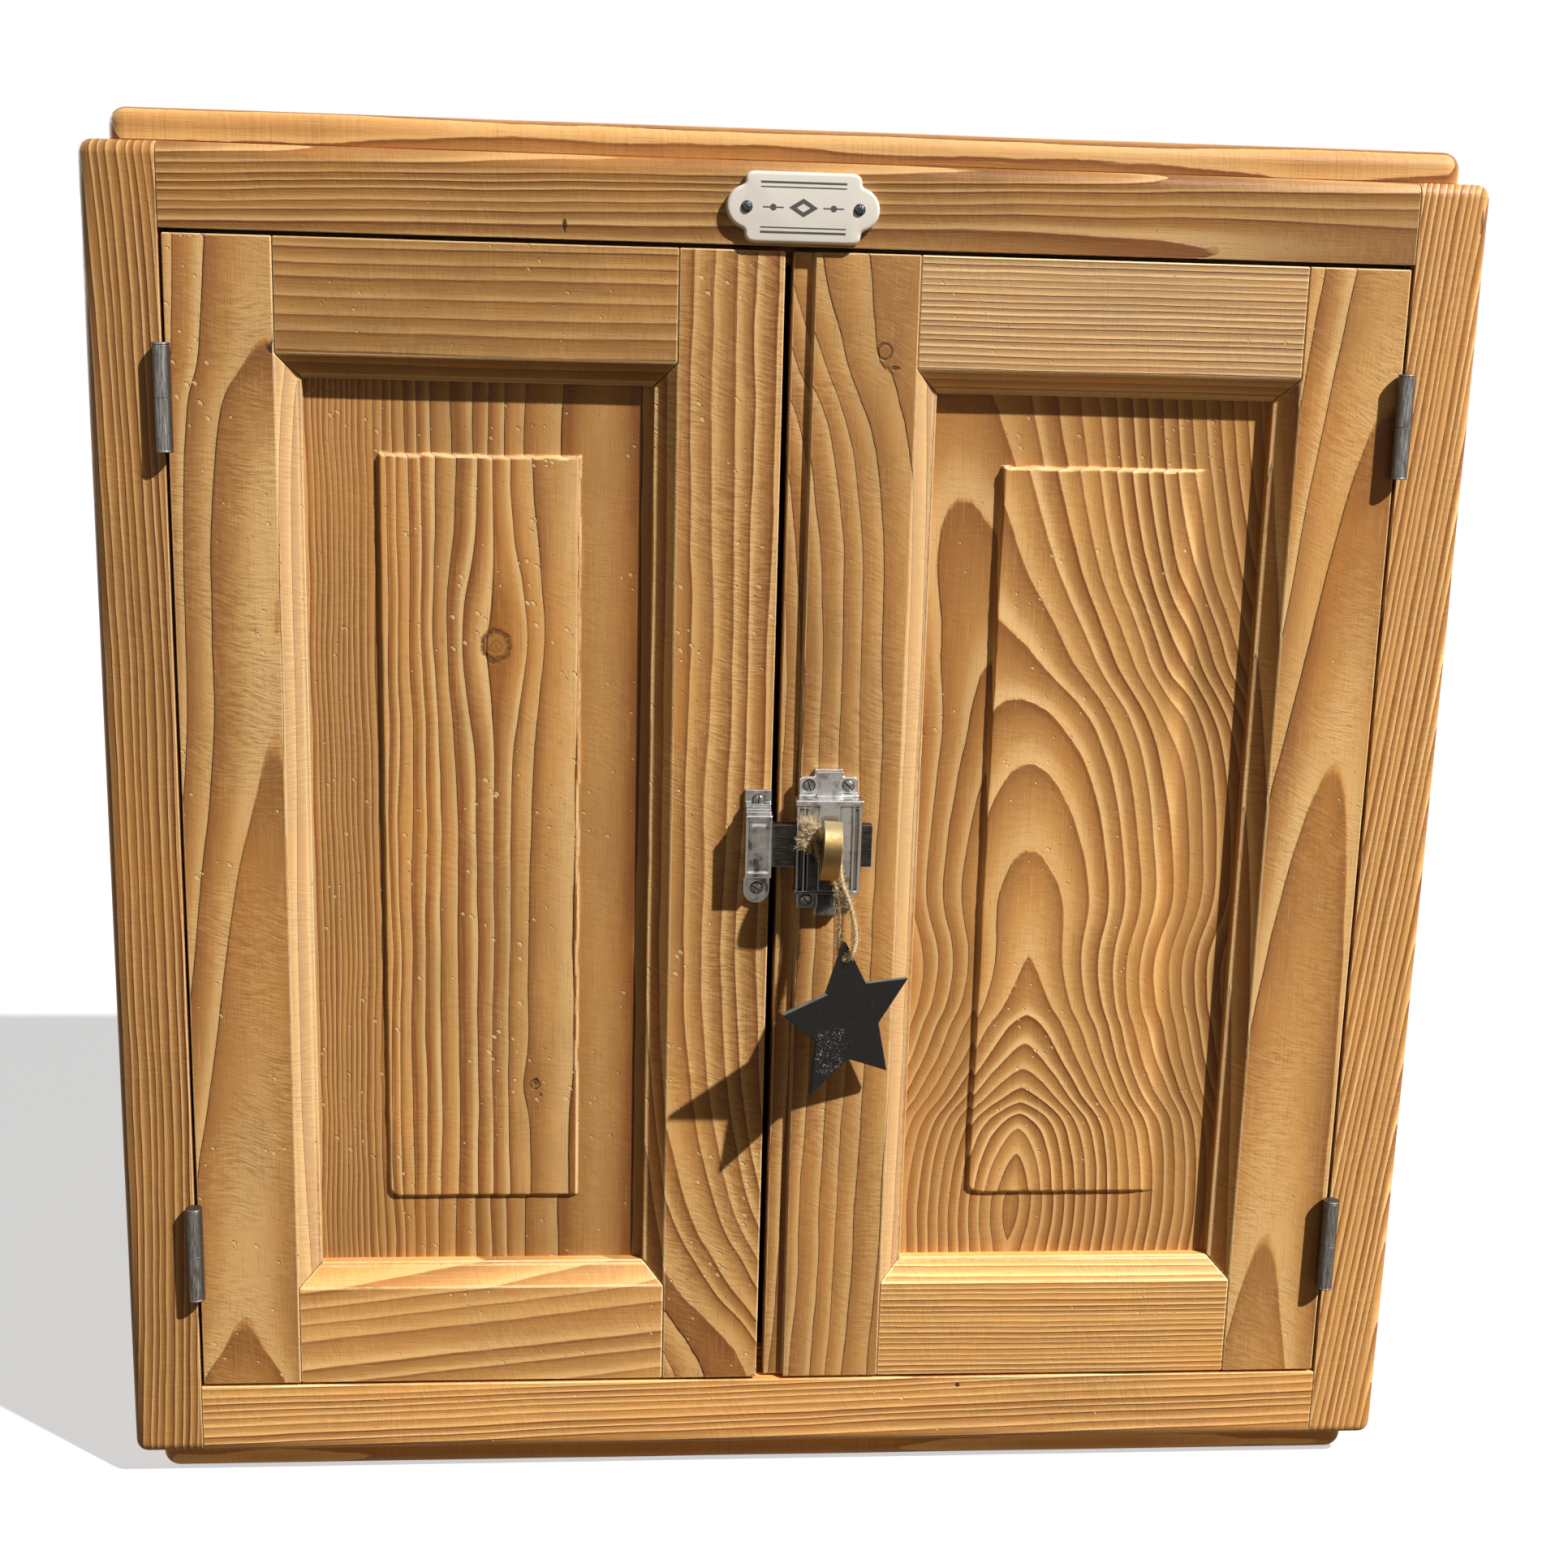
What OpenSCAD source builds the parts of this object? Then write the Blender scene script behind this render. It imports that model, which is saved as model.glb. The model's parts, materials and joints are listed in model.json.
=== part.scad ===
/* [Case] */
// Width over the face frame
case_w = 685; // [520:1:900]
// Height of the face frame, between the top and base boards
case_h = 682; // [500:1:900]
// Depth from the frame's front face to the back
case_d = 320; // [260:1:450]
// Thickness of the side panels
side_t = 18; // [14:1:24]
// How far the frame stands past the boards at each end
frame_lip = 11.5; // [8:0.5:16]
// How far the side panels stand inside the boards' ends
side_inset = 2; // [1:0.5:4]
// Thickness of the top and base boards
board_t = 16; // [13:1:22]
// How far the boards' front edges lie behind the frame's face
board_setback = 11; // [6:0.5:16]
// Thickness of the back boards
back_t = 10; // [7:0.5:14]
// Depth of the rebate that holds the back boards
back_rebate = 8; // [5:0.5:11]
// Width of the lap between two back boards
back_lap = 6; // [4:0.5:10]

/* [Face frame] */
// Thickness of the frame and depth of its members
frame_t = 22; // [19:0.5:28]
// Width of the frame's stiles
frame_stile_w = 36.5; // [30:0.5:50]
// Height of the frame's top and bottom rails
frame_rail_h = 40; // [34:0.5:60]
// Radius worn on the frame's outer front edges
frame_round = 7; // [3:0.5:10]
// Length of the frame's tenons
frame_tenon = 24; // [15:0.5:28]
// Thickness of every tenon
tenon_t = 6; // [5:0.5:7]

/* [Doors] */
// Thickness of the doors
door_t = 21.6; // [20:0.2:24]
// Gap at the hinged edges
hinge_gap = 1.5; // [1.2:0.1:2.5]
// Gap between the two doors
middle_gap = 4; // [3:0.5:6]
// Gap over the doors
top_gap = 2; // [1.5:0.5:4]
// Gap under the doors
bottom_gap = 1.5; // [1:0.5:4]
// How much wider the right door is than the left one
right_extra = 11; // [0:0.5:20]
// Width of the door stiles' flat faces
door_stile_w = 51.5; // [45:0.5:70]
// Height of the door rails' flat faces
door_rail_h = 55; // [48:0.5:80]
// Width of the sloped inner moulding
bevel_w = 11.5; // [8:0.5:16]
// Depth from the door's face to its panel
panel_depth = 12; // [10:0.5:13]
// Thickness of the panel's edge
panel_t = 5.8; // [5:0.2:6.4]
// How far the panel's edge runs into its groove
panel_tongue = 7; // [5:0.5:9]
// Margin of flat panel round the raised field
field_margin = 36; // [20:1:50]
// Height of the raised field
field_h = 2.7; // [1.5:0.1:5]
// Slope planed off the left door's closing edge
edge_slope = 1.4; // [1.2:0.1:2]
// Width of the rebate on the right door's closing edge
rebate_w = 10.5; // [6:0.5:14]
// Depth of the rebate on the right door's closing edge
rebate_depth = 3.5; // [2:0.5:6]
// Length of the door rails' tenons
door_tenon = 36; // [25:1:42]
// Edge broken on the doors' front arrises
arris = 1; // [0.5:0.1:1.5]

/* [Interior] */
// Thickness of the shelf
shelf_t = 16; // [12:1:22]
// Height of the shelf's top over the inner floor
shelf_rise = 345; // [200:1:450]
// Thickness of the shelf's cleats
cleat_t = 16; // [12:1:22]
// Height of the shelf's cleats
cleat_h = 25; // [18:1:35]
// Space between the frame's back and the shelf's front edge
shelf_setback = 20; // [16:1:60]
// Thickness of the door stops
stop_t = 12; // [9:0.5:15]
// Height of the door stops
stop_h = 24; // [18:1:32]
// How far a stop reaches into the doorway
stop_reach = 8; // [5:0.5:12]

/* [Hinges] */
// Radius of the hinge barrels
barrel_r = 4.25; // [3.8:0.05:4.4]
// Height of a hinge barrel without its caps
barrel_h = 49.6; // [40:0.2:70]
// Distance of the barrels' axis in front of the frame's face
barrel_out = 4.5; // [4.5:0.1:5.5]
// Radius of the hinge pins
pin_r = 2.5; // [2:0.1:2.8]
// Radius of the caps on the pins' ends
cap_r = 4.3; // [4:0.05:4.4]
// Thickness of the caps
cap_t = 1.1; // [0.8:0.1:1.6]
// Thickness of the hinge leaves
leaf_t = 1.2; // [0.9:0.1:1.6]
// Width of the leaves behind the frame's face
leaf_w = 19; // [15:0.5:19.5]
// Distance of the upper hinges' middle under the doorway's head
hinge_drop = 79; // [60:0.5:150]
// Height of the lower hinges' middle over the doorway's sill
hinge_rise = 79.5; // [60:0.5:150]

/* [Name plate] */
// Width of the plate over its round ends
plate_w = 74.5; // [60:0.5:100]
// Width of the plate's middle
plate_mid_w = 56.5; // [45:0.5:58]
// Height of the plate's middle
plate_h = 33.5; // [28:0.5:36]
// Radius of the plate's round ends
plate_end_r = 10.5; // [8:0.5:12]
// Radius of the middle's corners
plate_corner_r = 4; // [2:0.5:6]
// Thickness of the plate
plate_t = 4.5; // [2:0.5:7]
// How far the plate's middle lies under the rail's middle
plate_drop = 2; // [0:0.5:3]

/* [Latch] */
// Distance of the latch's middle from the door's closing edge
latch_in = 25; // [24:0.5:30]
// Height of the latch's middle over the doorway's middle
latch_rise = 4; // [-60:1:60]
// Width of the latch's case
case_box_w = 35; // [32:0.5:40]
// Height of the latch's case
case_box_h = 50; // [42:0.5:60]
// How far the latch's case stands out from the door
case_out = 14; // [13.5:0.5:17]
// Width of the raised band down the case
band_w = 11.5; // [9:0.5:14]
// How far the band stands out from the case
band_out = 1; // [0.6:0.1:1.6]
// Height of the bead over the case
bead_h = 4; // [3:0.5:5]
// Width of the plate under the case
foot_w = 30; // [26:0.5:31]
// Height of the plate under the case
foot_h = 78; // [74:0.5:90]
// Thickness of the plate under the case
foot_t = 3; // [2:0.5:3.5]
// Spacing of the latch's screws across
latch_screw_gap = 20; // [17:0.5:21]
// Height of the bolt
bolt_h = 21.8; // [20:0.2:26]
// Thickness of the bolt
bolt_t = 7; // [6:0.5:7.5]
// How far the bolt stands out beyond the case's far side
bolt_tail = 5; // [3:0.5:10]
// Travel of the bolt each way from its middle
bolt_travel = 7; // [5:0.5:7.5]
// Width of the keeper
keeper_w = 13.5; // [12.5:0.5:16]
// Height of the keeper over its ears
keeper_h = 60; // [56:0.5:70]
// Height of the keeper's box
keeper_box_h = 33; // [30:0.5:36]
// Thickness of the keeper's ears
keeper_foot_t = 2.5; // [2:0.5:3]
// How far the keeper's box stands out
keeper_out = 13.5; // [12.5:0.5:16]
// How far the keeper's ears lie under the middle of its box
keeper_drop = 2.5; // [0:0.5:4]
// Wall of the keeper's box
keeper_wall = 1.5; // [1:0.1:1.8]

/* [Turn] */
// Width of the brass tab
tab_w = 9; // [7:0.5:11]
// Height of the brass tab
tab_h = 31; // [26:0.5:36]
// How far the tab's edge stands out from the door
tab_out = 34; // [31:0.5:38]
// Distance from the door to the tab's back
tab_back = 20; // [19.5:0.5:22]
// Lean of the tab at rest, in degrees
tab_lean = 4; // [0:0.5:8]
// Radius of the neck behind the tab
neck_r = 3.2; // [3:0.1:3.4]
// Pitch radius of the wheel that moves the bolt
wheel_r = 5; // [4.5:0.5:5.5]
// Thickness of the wheel
wheel_t = 5; // [4:0.5:5.5]
// Side of the square on the spindle
square_w = 3.4; // [3:0.1:3.8]

/* [Tag] */
// Distance from the star's middle to its points
star_r = 43; // [36:0.5:50]
// Distance from the star's middle to its inner corners
star_inner_r = 21.4; // [17:0.2:26]
// Thickness of the star
star_t = 3; // [2:0.5:5]
// Turn of the star about the vertical, in degrees
star_turn = 32; // [28:1:35]
// Lean of the star in its own plane, in degrees
star_lean = 4; // [2:0.5:6]
// Radius of the hole near the star's upper point
star_hole_r = 2.4; // [2.2:0.1:3]
// Radius of the twine
twine_r = 1; // [0.8:0.1:1.2]
// Radius of the knot
knot_r = 2.6; // [2.2:0.1:2.8]

/* [Fits] */
// Radial clearance of screws and pins in their holes
pin_gap = 0.08; // [0.05:0.01:0.1]
// Clearance between pieces that slide or swing past each other
run_gap = 0.3; // [0.2:0.05:0.5]
// Clearance at the ends of tenons
tenon_end_gap = 1; // [0.5:0.5:2]

/* [Hidden] */
$fn = 48;

pine = "#c98a4b";
pine_pale = "#d8a468";
iron = "#5c5850";
zinc = "#8f9190";
brass = "#b98d3c";
enamel = "#ece8dc";
jute = "#b79a6a";
slate = "#2e3033";

front_y = -case_d / 2;
back_y = case_d / 2;
frame_back_y = front_y + frame_t;
frame_z0 = board_t;
frame_z1 = board_t + case_h;
board_w = case_w - 2 * frame_lip;
side_x1 = board_w / 2 - side_inset;
side_x0 = side_x1 - side_t;

opening_w = case_w - 2 * frame_stile_w;
sill_z = frame_z0 + frame_rail_h;
lintel_z = frame_z1 - frame_rail_h;
rail_len = opening_w;

doors_w = opening_w - 2 * hinge_gap - middle_gap;
left_w = (doors_w - right_extra) / 2;
right_w = (doors_w + right_extra) / 2;
left_x0 = -opening_w / 2 + hinge_gap;
left_x1 = left_x0 + left_w;
right_x1 = opening_w / 2 - hinge_gap;
right_x0 = right_x1 - right_w;
door_z0 = sill_z + bottom_gap;
door_z1 = lintel_z - top_gap;
door_h = door_z1 - door_z0;
meeting_w = door_stile_w + right_extra;
groove_depth = panel_tongue + tenon_end_gap;
tenon_margin = 6;

hinge_x = opening_w / 2 - hinge_gap / 2;
hinge_y = front_y - barrel_out;
upper_hinge_z = lintel_z - hinge_drop;
lower_hinge_z = sill_z + hinge_rise;
leaf_gap = 0.25;
seam = 0.3;
hinge_screw_r = 1.6;
hinge_head_r = 3;
hinge_screw_len = 13;

latch_x = right_x0 + latch_in;
latch_z = (sill_z + lintel_z) / 2 + latch_rise;
keeper_x1 = left_x1 - 0.1;
keeper_x0 = keeper_x1 - keeper_w;
bolt_clear_x = left_x1 + 0.4;
bolt_x1 = latch_x + case_box_w / 2 + bolt_tail;
bolt_back = foot_t + run_gap;
channel_out = bolt_back + bolt_t + run_gap;
latch_screw_z = (case_box_h + foot_h) / 4;
small_shank_r = 1.5;
small_head_r = 3.2;
small_head_h = 1.8;
small_screw_len = 14;

pressure_angle = 25;
wheel_teeth = 10;
module_size = 2 * wheel_r / wheel_teeth;
wheel_tip_r = wheel_r + 0.8 * module_size;
wheel_root_r = wheel_r - module_size;
rack_tip = 0.7 * module_size;
rack_root = 1.1 * module_size;
backlash = 0.2;
tooth_pitch = PI * module_size;
journal_r = 1.5;
wheel_back = bolt_back + (bolt_t - wheel_t) / 2;

plate_z = frame_z1 - frame_rail_h / 2 - plate_drop;
plate_screw_x = plate_w / 2 - plate_end_r + 0.5;
plate_head_r = 2.8;
plate_head_h = 1.6;
plate_shank_r = 1.3;

// Places on the tag are given from the neck's middle: across, out from the door, and up
star_middle = [10.8, 24, -88.8];
knot_place = [-9, 16.8, 9];
twine_route = [
    [-7.4, 17, 7.8], [-4.2, 17, 6.2], [-0.8, 17, 4.9], [2.8, 17, 4], [4.8, 17, 1.2], [5.4, 17, -3],
    [5.8, 17, -7.9], [6.2, 17.4, -12.9], [7.2, 18.2, -17.9], [9, 19.6, -22.6], [11, 21.4, -27.6],
    [12.4, 23.2, -32.8], [13.4, 25.2, -38.2], [13.8, 27.4, -43.6], [13.2, 29.4, -48.2],
    [12.1, 29.9, -51.2], [10.6, 28.3, -53.2], [8.8, 25.3, -53.9], [7.2, 22.6, -53.1],
    [6.3, 20.9, -50.6], [6.2, 20.2, -46.6], [6.4, 19.6, -41.6], [6.6, 19, -36.4], [6.4, 18, -31],
    [5.6, 17.2, -25.6], [4, 17, -20.4], [2, 17, -15.6], [-0.6, 17, -11.2], [-3.6, 17, -7.2],
    [-5.9, 17, -2.8], [-7.4, 17, 2], [-8.4, 17, 7],
];
twine_sides = 8;

// Corner cutter for an edge that runs up from the origin, with the material towards +X and +Y
module edge_cutter(r, len) {
    difference() {
        translate([-1, -1, -1]) cube([r + 1, r + 1, len + 2]);
        translate([r, r, -2]) cylinder(r = r, h = len + 4);
    }
}

// Box given by two opposite corners
module block(a, b) {
    translate(a) cube([b[0] - a[0], b[1] - a[1], b[2] - a[2]]);
}

// Cylinder that runs out from the door's face towards the viewer, from depth a to depth b
module stud(x, z, r, a, b) {
    translate([x, front_y - a, z]) rotate([90, 0, 0]) cylinder(r = r, h = b - a);
}

module side_panel(side) {
    x0 = side > 0 ? side_x0 : -side_x1;
    rebate_x = side > 0 ? side_x0 - 1 : -side_x0 - back_rebate;
    color(pine) difference() {
        block([x0, frame_back_y, frame_z0], [x0 + side_t, back_y, frame_z1]);
        translate([rebate_x, back_y - back_t, frame_z0 - 1])
            cube([back_rebate + 1, back_t + 1, case_h + 2]);
    }
}

// Board with rounded front and end edges, lying from z0 to z0 + board_t; up says which face shows
module capping(z0, up) {
    show_r = board_t * 0.55;
    plan_r = board_t * 0.6;
    y0 = front_y + board_setback;
    depth = back_y - y0;
    color(pine) difference() {
        block([-board_w / 2, y0, z0], [board_w / 2, back_y, z0 + board_t]);
        for (side = [-1, 1]) {
            scale([side, 1, 1]) translate([-board_w / 2, y0, z0]) edge_cutter(plan_r, board_t);
            translate([0, 0, z0 + board_t / 2]) scale([side, 1, up])
                translate([-board_w / 2, y0, board_t / 2]) rotate([-90, 0, 0]) edge_cutter(show_r, depth);
        }
        translate([0, 0, z0 + board_t / 2]) scale([1, 1, up]) translate([-board_w / 2, y0, board_t / 2])
            rotate([0, 90, 0]) edge_cutter(show_r, board_w);
    }
}

// Frame tenons and their mortises share this block; grow is the extra length of a mortise
module frame_tenon_block(side, z0, grow) {
    x0 = opening_w / 2 - (grow > 0 ? 1 : 0);
    y0 = front_y + (frame_t - tenon_t) / 2;
    z1 = z0 + frame_rail_h - tenon_margin;
    scale([side, 1, 1])
        block([x0, y0, z0 + tenon_margin], [opening_w / 2 + frame_tenon + grow, y0 + tenon_t, z1]);
}

module frame_stile(side) {
    color(pine_pale) difference() {
        scale([side, 1, 1]) difference() {
            block([opening_w / 2, front_y, frame_z0], [case_w / 2, frame_back_y, frame_z1]);
            translate([case_w / 2, front_y, frame_z0]) rotate([0, 0, 90]) edge_cutter(frame_round, case_h);
            translate([opening_w / 2, front_y, frame_z1]) rotate([0, 90, 0])
                edge_cutter(frame_round, frame_stile_w);
            translate([opening_w / 2, front_y, frame_z0]) rotate([0, 90, 0]) rotate([0, 0, 90])
                edge_cutter(frame_round, frame_stile_w);
            for (up = [-1, 1])
                translate([case_w / 2, front_y, up > 0 ? frame_z1 : frame_z0]) scale([-1, 1, up])
                    rotate([-90, 0, 0]) edge_cutter(frame_round, frame_t);
        }
        frame_tenon_block(side, frame_z0, tenon_end_gap);
        frame_tenon_block(side, lintel_z, tenon_end_gap);
        hinge_mortises(side, 1);
        hinge_screw_holes(side, 1);
    }
}

module frame_rail(z0, worn_z) {
    color(pine_pale) difference() {
        union() {
            block([-rail_len / 2, front_y, z0], [rail_len / 2, frame_back_y, z0 + frame_rail_h]);
            for (side = [-1, 1]) frame_tenon_block(side, z0, 0);
        }
        translate([-rail_len / 2, front_y, worn_z]) rotate([0, 90, 0]) rotate([0, 0, worn_z > z0 ? 0 : 90])
            edge_cutter(frame_round, rail_len);
        if (worn_z > z0)
            for (side = [-1, 1])
                stud(side * plate_screw_x, plate_z, plate_shank_r + pin_gap, -small_screw_len, 1);
    }
}

back_span = 2 * (side_x0 + back_rebate);
back_board_w = back_span / 3;

// Back boards lap each other: the middle one lies over both side ones
module back_board(place) {
    x0 = -back_span / 2 + (place + 1) * back_board_w;
    x1 = x0 + back_board_w;
    half = back_y - back_t / 2;
    color(pine) difference() {
        block([x0 - (place == 0 ? back_lap : 0), back_y - back_t, frame_z0],
            [x1 + (place == 0 ? back_lap : 0), back_y, frame_z1]);
        if (place == 0) {
            block([x0 - back_lap - 1, half, frame_z0 - 1], [x0, back_y + 1, frame_z1 + 1]);
            block([x1, half, frame_z0 - 1], [x1 + back_lap + 1, back_y + 1, frame_z1 + 1]);
        }
        if (place == -1)
            block([x1 - back_lap, back_y - back_t - 1, frame_z0 - 1], [x1 + 1, half, frame_z1 + 1]);
        if (place == 1)
            block([x0 - 1, back_y - back_t - 1, frame_z0 - 1], [x0 + back_lap, half, frame_z1 + 1]);
    }
}

shelf_z1 = frame_z0 + shelf_rise;
shelf_z0 = shelf_z1 - shelf_t;
shelf_y0 = frame_back_y + shelf_setback;
shelf_y1 = back_y - back_t;

module shelf() {
    color(pine) block([-side_x0, shelf_y0, shelf_z0], [side_x0, shelf_y1, shelf_z1]);
}

module shelf_cleat(side) {
    color(pine) scale([side, 1, 1])
        block([side_x0 - cleat_t, shelf_y0, shelf_z0 - cleat_h], [side_x0, shelf_y1, shelf_z0]);
}

module door_stop(edge_z, way) {
    z0 = way > 0 ? edge_z - stop_reach : edge_z + stop_reach - stop_h;
    color(pine)
        block([-rail_len / 2, frame_back_y, z0], [rail_len / 2, frame_back_y + stop_t, z0 + stop_h]);
}

module name_plate() {
    color(enamel) difference() {
        union() {
            for (side = [-1, 1]) {
                stud(side * (plate_w / 2 - plate_end_r), plate_z, plate_end_r, 0, plate_t);
                for (up = [-1, 1])
                    stud(side * (plate_mid_w / 2 - plate_corner_r),
                        plate_z + up * (plate_h / 2 - plate_corner_r), plate_corner_r, 0, plate_t);
            }
            block([-plate_mid_w / 2, front_y - plate_t, plate_z - plate_h / 2 + plate_corner_r],
                [plate_mid_w / 2, front_y, plate_z + plate_h / 2 - plate_corner_r]);
            block([-plate_mid_w / 2 + plate_corner_r, front_y - plate_t, plate_z - plate_h / 2],
                [plate_mid_w / 2 - plate_corner_r, front_y, plate_z + plate_h / 2]);
        }
        for (side = [-1, 1]) stud(side * plate_screw_x, plate_z, plate_shank_r + pin_gap, -1, plate_t + 1);
    }
}

slot_w = 0.8;
slot_depth = 0.6;

// Round-headed screw whose head's underside lies at depth a in front of the door's face
module round_screw(x, z, shank_r, head_r, head_h, a) {
    ball_r = (head_r * head_r + head_h * head_h) / (2 * head_h);
    difference() {
        union() {
            stud(x, z, shank_r, a - small_screw_len, a);
            intersection() {
                translate([x, front_y - a - head_h + ball_r, z]) sphere(r = ball_r);
                stud(x, z, head_r + 1, a, a + head_h + 1);
            }
        }
        block([x - head_r - 1, front_y - a - head_h - 1, z - slot_w / 2],
            [x + head_r + 1, front_y - a - head_h + slot_depth, z + slot_w / 2]);
    }
}

module plate_screws() {
    color(iron) for (side = [-1, 1])
        round_screw(side * plate_screw_x, plate_z, plate_shank_r, plate_head_r, plate_head_h, plate_t);
}

// Shallow seats of the hinge leaves; part is 1 for the frame and -1 for a door
module hinge_mortises(side, part) {
    for (z = [upper_hinge_z, lower_hinge_z])
        leaf_plate(side, part, z, 1);
}

// Flat plate of a leaf in the gap; grow lengthens it past the face to cut its seat
module leaf_plate(side, part, z, grow) {
    scale([side, 1, 1]) block(
        [hinge_x + (part > 0 ? leaf_gap : -leaf_gap - leaf_t), front_y - grow, z - barrel_h / 2],
        [hinge_x + (part > 0 ? leaf_gap + leaf_t : -leaf_gap), front_y + leaf_w, z + barrel_h / 2]);
}

// The lower knuckle belongs to the frame and the upper one to the door
module hinge_leaf(side, part, z) {
    z0 = part > 0 ? z - barrel_h / 2 : z + seam / 2;
    knuckle_h = (barrel_h - seam) / 2;
    color(iron) difference() {
        union() {
            leaf_plate(side, part, z, 0);
            translate([side * hinge_x, hinge_y, z0]) cylinder(r = barrel_r, h = knuckle_h);
            scale([side, 1, 1]) block(
                [hinge_x + (part > 0 ? leaf_gap : -leaf_gap - leaf_t), hinge_y, z0],
                [hinge_x + (part > 0 ? leaf_gap + leaf_t : -leaf_gap), front_y + 1, z0 + knuckle_h]);
        }
        translate([side * hinge_x, hinge_y, z - barrel_h]) cylinder(r = pin_r + pin_gap, h = 2 * barrel_h);
        hinge_screw_holes(side, part);
    }
}

module hinge_pin(side, z) {
    cap_gap = 0.1;
    color(iron) translate([side * hinge_x, hinge_y, z]) {
        translate([0, 0, -barrel_h / 2 - cap_t]) cylinder(r = cap_r, h = cap_t);
        translate([0, 0, barrel_h / 2 + cap_gap]) cylinder(r = cap_r, h = cap_t);
        translate([0, 0, -barrel_h / 2 - cap_t / 2]) cylinder(r = pin_r, h = barrel_h + cap_t);
    }
}

// One countersunk screw at the hinge's middle line, with its head flush with the leaf; gap widens it
module hinge_screw(side, part, z, gap) {
    x = hinge_x + part * leaf_gap;
    scale([side, 1, 1]) translate([x, front_y + leaf_w * 0.55, z]) rotate([0, part * 90, 0]) {
        cylinder(r1 = hinge_head_r + gap, r2 = hinge_screw_r + gap, h = leaf_t);
        cylinder(r = hinge_screw_r + gap, h = hinge_screw_len + gap);
    }
}

hinge_screw_rise = barrel_h * 0.33;

module hinge_screw_set(side, part, gap) {
    for (z = [upper_hinge_z, lower_hinge_z])
        for (up = [-1, 0, 1]) hinge_screw(side, part, z + up * hinge_screw_rise, gap);
}

module hinge_screw_holes(side, part) {
    hinge_screw_set(side, part, pin_gap);
}

module frame_hinge_screws() {
    color(iron) for (side = [-1, 1]) hinge_screw_set(side, 1, 0);
}

module door_hinge_screws(side) {
    color(iron) hinge_screw_set(side, -1, 0);
}

// A door lies along +X from its left edge, +Y from its face and +Z from its lower edge.
// left_face and right_face are the widths of its stiles' flat faces.
groove_y0 = panel_depth;
groove_y1 = panel_depth + panel_t + 0.2;

// The slot that holds the panel, seen as one box through all four members
module panel_pocket(w, left_face, right_face) {
    inset = bevel_w - groove_depth;
    block([left_face + inset, groove_y0, door_rail_h + inset],
        [w - right_face - inset, groove_y1, door_h - door_rail_h - inset]);
}

// Moulding strip along a stile: it slopes back from the flat face and is mitred at both ends
module stile_moulding(face) {
    intersection() {
        linear_extrude(height = door_h) polygon([[face, 0], [face + bevel_w, panel_depth],
            [face + bevel_w, door_t], [face, door_t]]);
        translate([0, door_t + 1, 0]) rotate([90, 0, 0]) linear_extrude(height = door_t + 2) polygon([
            [face, door_rail_h], [face + bevel_w, door_rail_h + bevel_w],
            [face + bevel_w, door_h - door_rail_h - bevel_w], [face, door_h - door_rail_h]]);
    }
}

module rail_tenon(x0, x1, gap) {
    block([x0 - door_tenon - gap, panel_depth, tenon_margin],
        [x1 + door_tenon + gap, panel_depth + tenon_t, door_rail_h - tenon_margin]);
}

// Stile at a door's left edge, with a flat face of the given width
module stile(w, face, left_face, right_face) {
    difference() {
        union() {
            linear_extrude(height = door_h)
                polygon([[arris, 0], [face, 0], [face, door_t], [0, door_t], [0, arris]]);
            stile_moulding(face);
        }
        panel_pocket(w, left_face, right_face);
        for (z = [0, door_h - door_rail_h])
            translate([0, 0, z]) rail_tenon(face, w, tenon_end_gap);
    }
}

// Rail at a door's lower edge
module rail(w, left_face, right_face) {
    x0 = left_face;
    x1 = w - right_face;
    difference() {
        union() {
            block([x0, 0, 0], [x1, door_t, door_rail_h]);
            rail_tenon(x0, x1, 0);
            intersection() {
                translate([x0, 0, 0]) rotate([90, 0, 90]) linear_extrude(height = x1 - x0)
                    polygon([[0, door_rail_h], [panel_depth, door_rail_h + bevel_w],
                        [door_t, door_rail_h + bevel_w], [door_t, door_rail_h]]);
                translate([0, door_t + 1, 0]) rotate([90, 0, 0]) linear_extrude(height = door_t + 2)
                    polygon([[x0, door_rail_h], [x0 + bevel_w, door_rail_h + bevel_w],
                        [x1 - bevel_w, door_rail_h + bevel_w], [x1, door_rail_h]]);
            }
        }
        panel_pocket(w, left_face, right_face);
    }
}

module at_door(x0) {
    translate([x0, front_y, door_z0]) children();
}

module mirrored(w) {
    translate([w, 0, 0]) mirror([1, 0, 0]) children();
}

module upended() {
    translate([0, 0, door_h]) mirror([0, 0, 1]) children();
}

module panel(w, left_face, right_face) {
    x0 = left_face + bevel_w;
    x1 = w - right_face - bevel_w;
    z0 = door_rail_h + bevel_w;
    z1 = door_h - door_rail_h - bevel_w;
    block([x0 - panel_tongue, panel_depth, z0 - panel_tongue],
        [x1 + panel_tongue, panel_depth + panel_t, z1 + panel_tongue]);
    block([x0 + field_margin, panel_depth - field_h, z0 + field_margin],
        [x1 - field_margin, panel_depth + 1, z1 - field_margin]);
}

module left_hinge_stile() {
    color(pine) difference() {
        at_door(left_x0) stile(left_w, door_stile_w, door_stile_w, door_stile_w);
        hinge_mortises(-1, -1);
        hinge_screw_holes(-1, -1);
    }
}

module left_meeting_stile() {
    color(pine) difference() {
        at_door(left_x0) difference() {
            mirrored(left_w) stile(left_w, door_stile_w, door_stile_w, door_stile_w);
            translate([left_w, 0, -1]) linear_extrude(height = door_h + 2) polygon([[0, arris], [1, arris],
                [1, door_t + 1], [-edge_slope, door_t + 1], [-edge_slope, door_t]]);
        }
        keeper_holes();
    }
}

module left_bottom_rail() {
    color(pine_pale) at_door(left_x0) rail(left_w, door_stile_w, door_stile_w);
}

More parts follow.
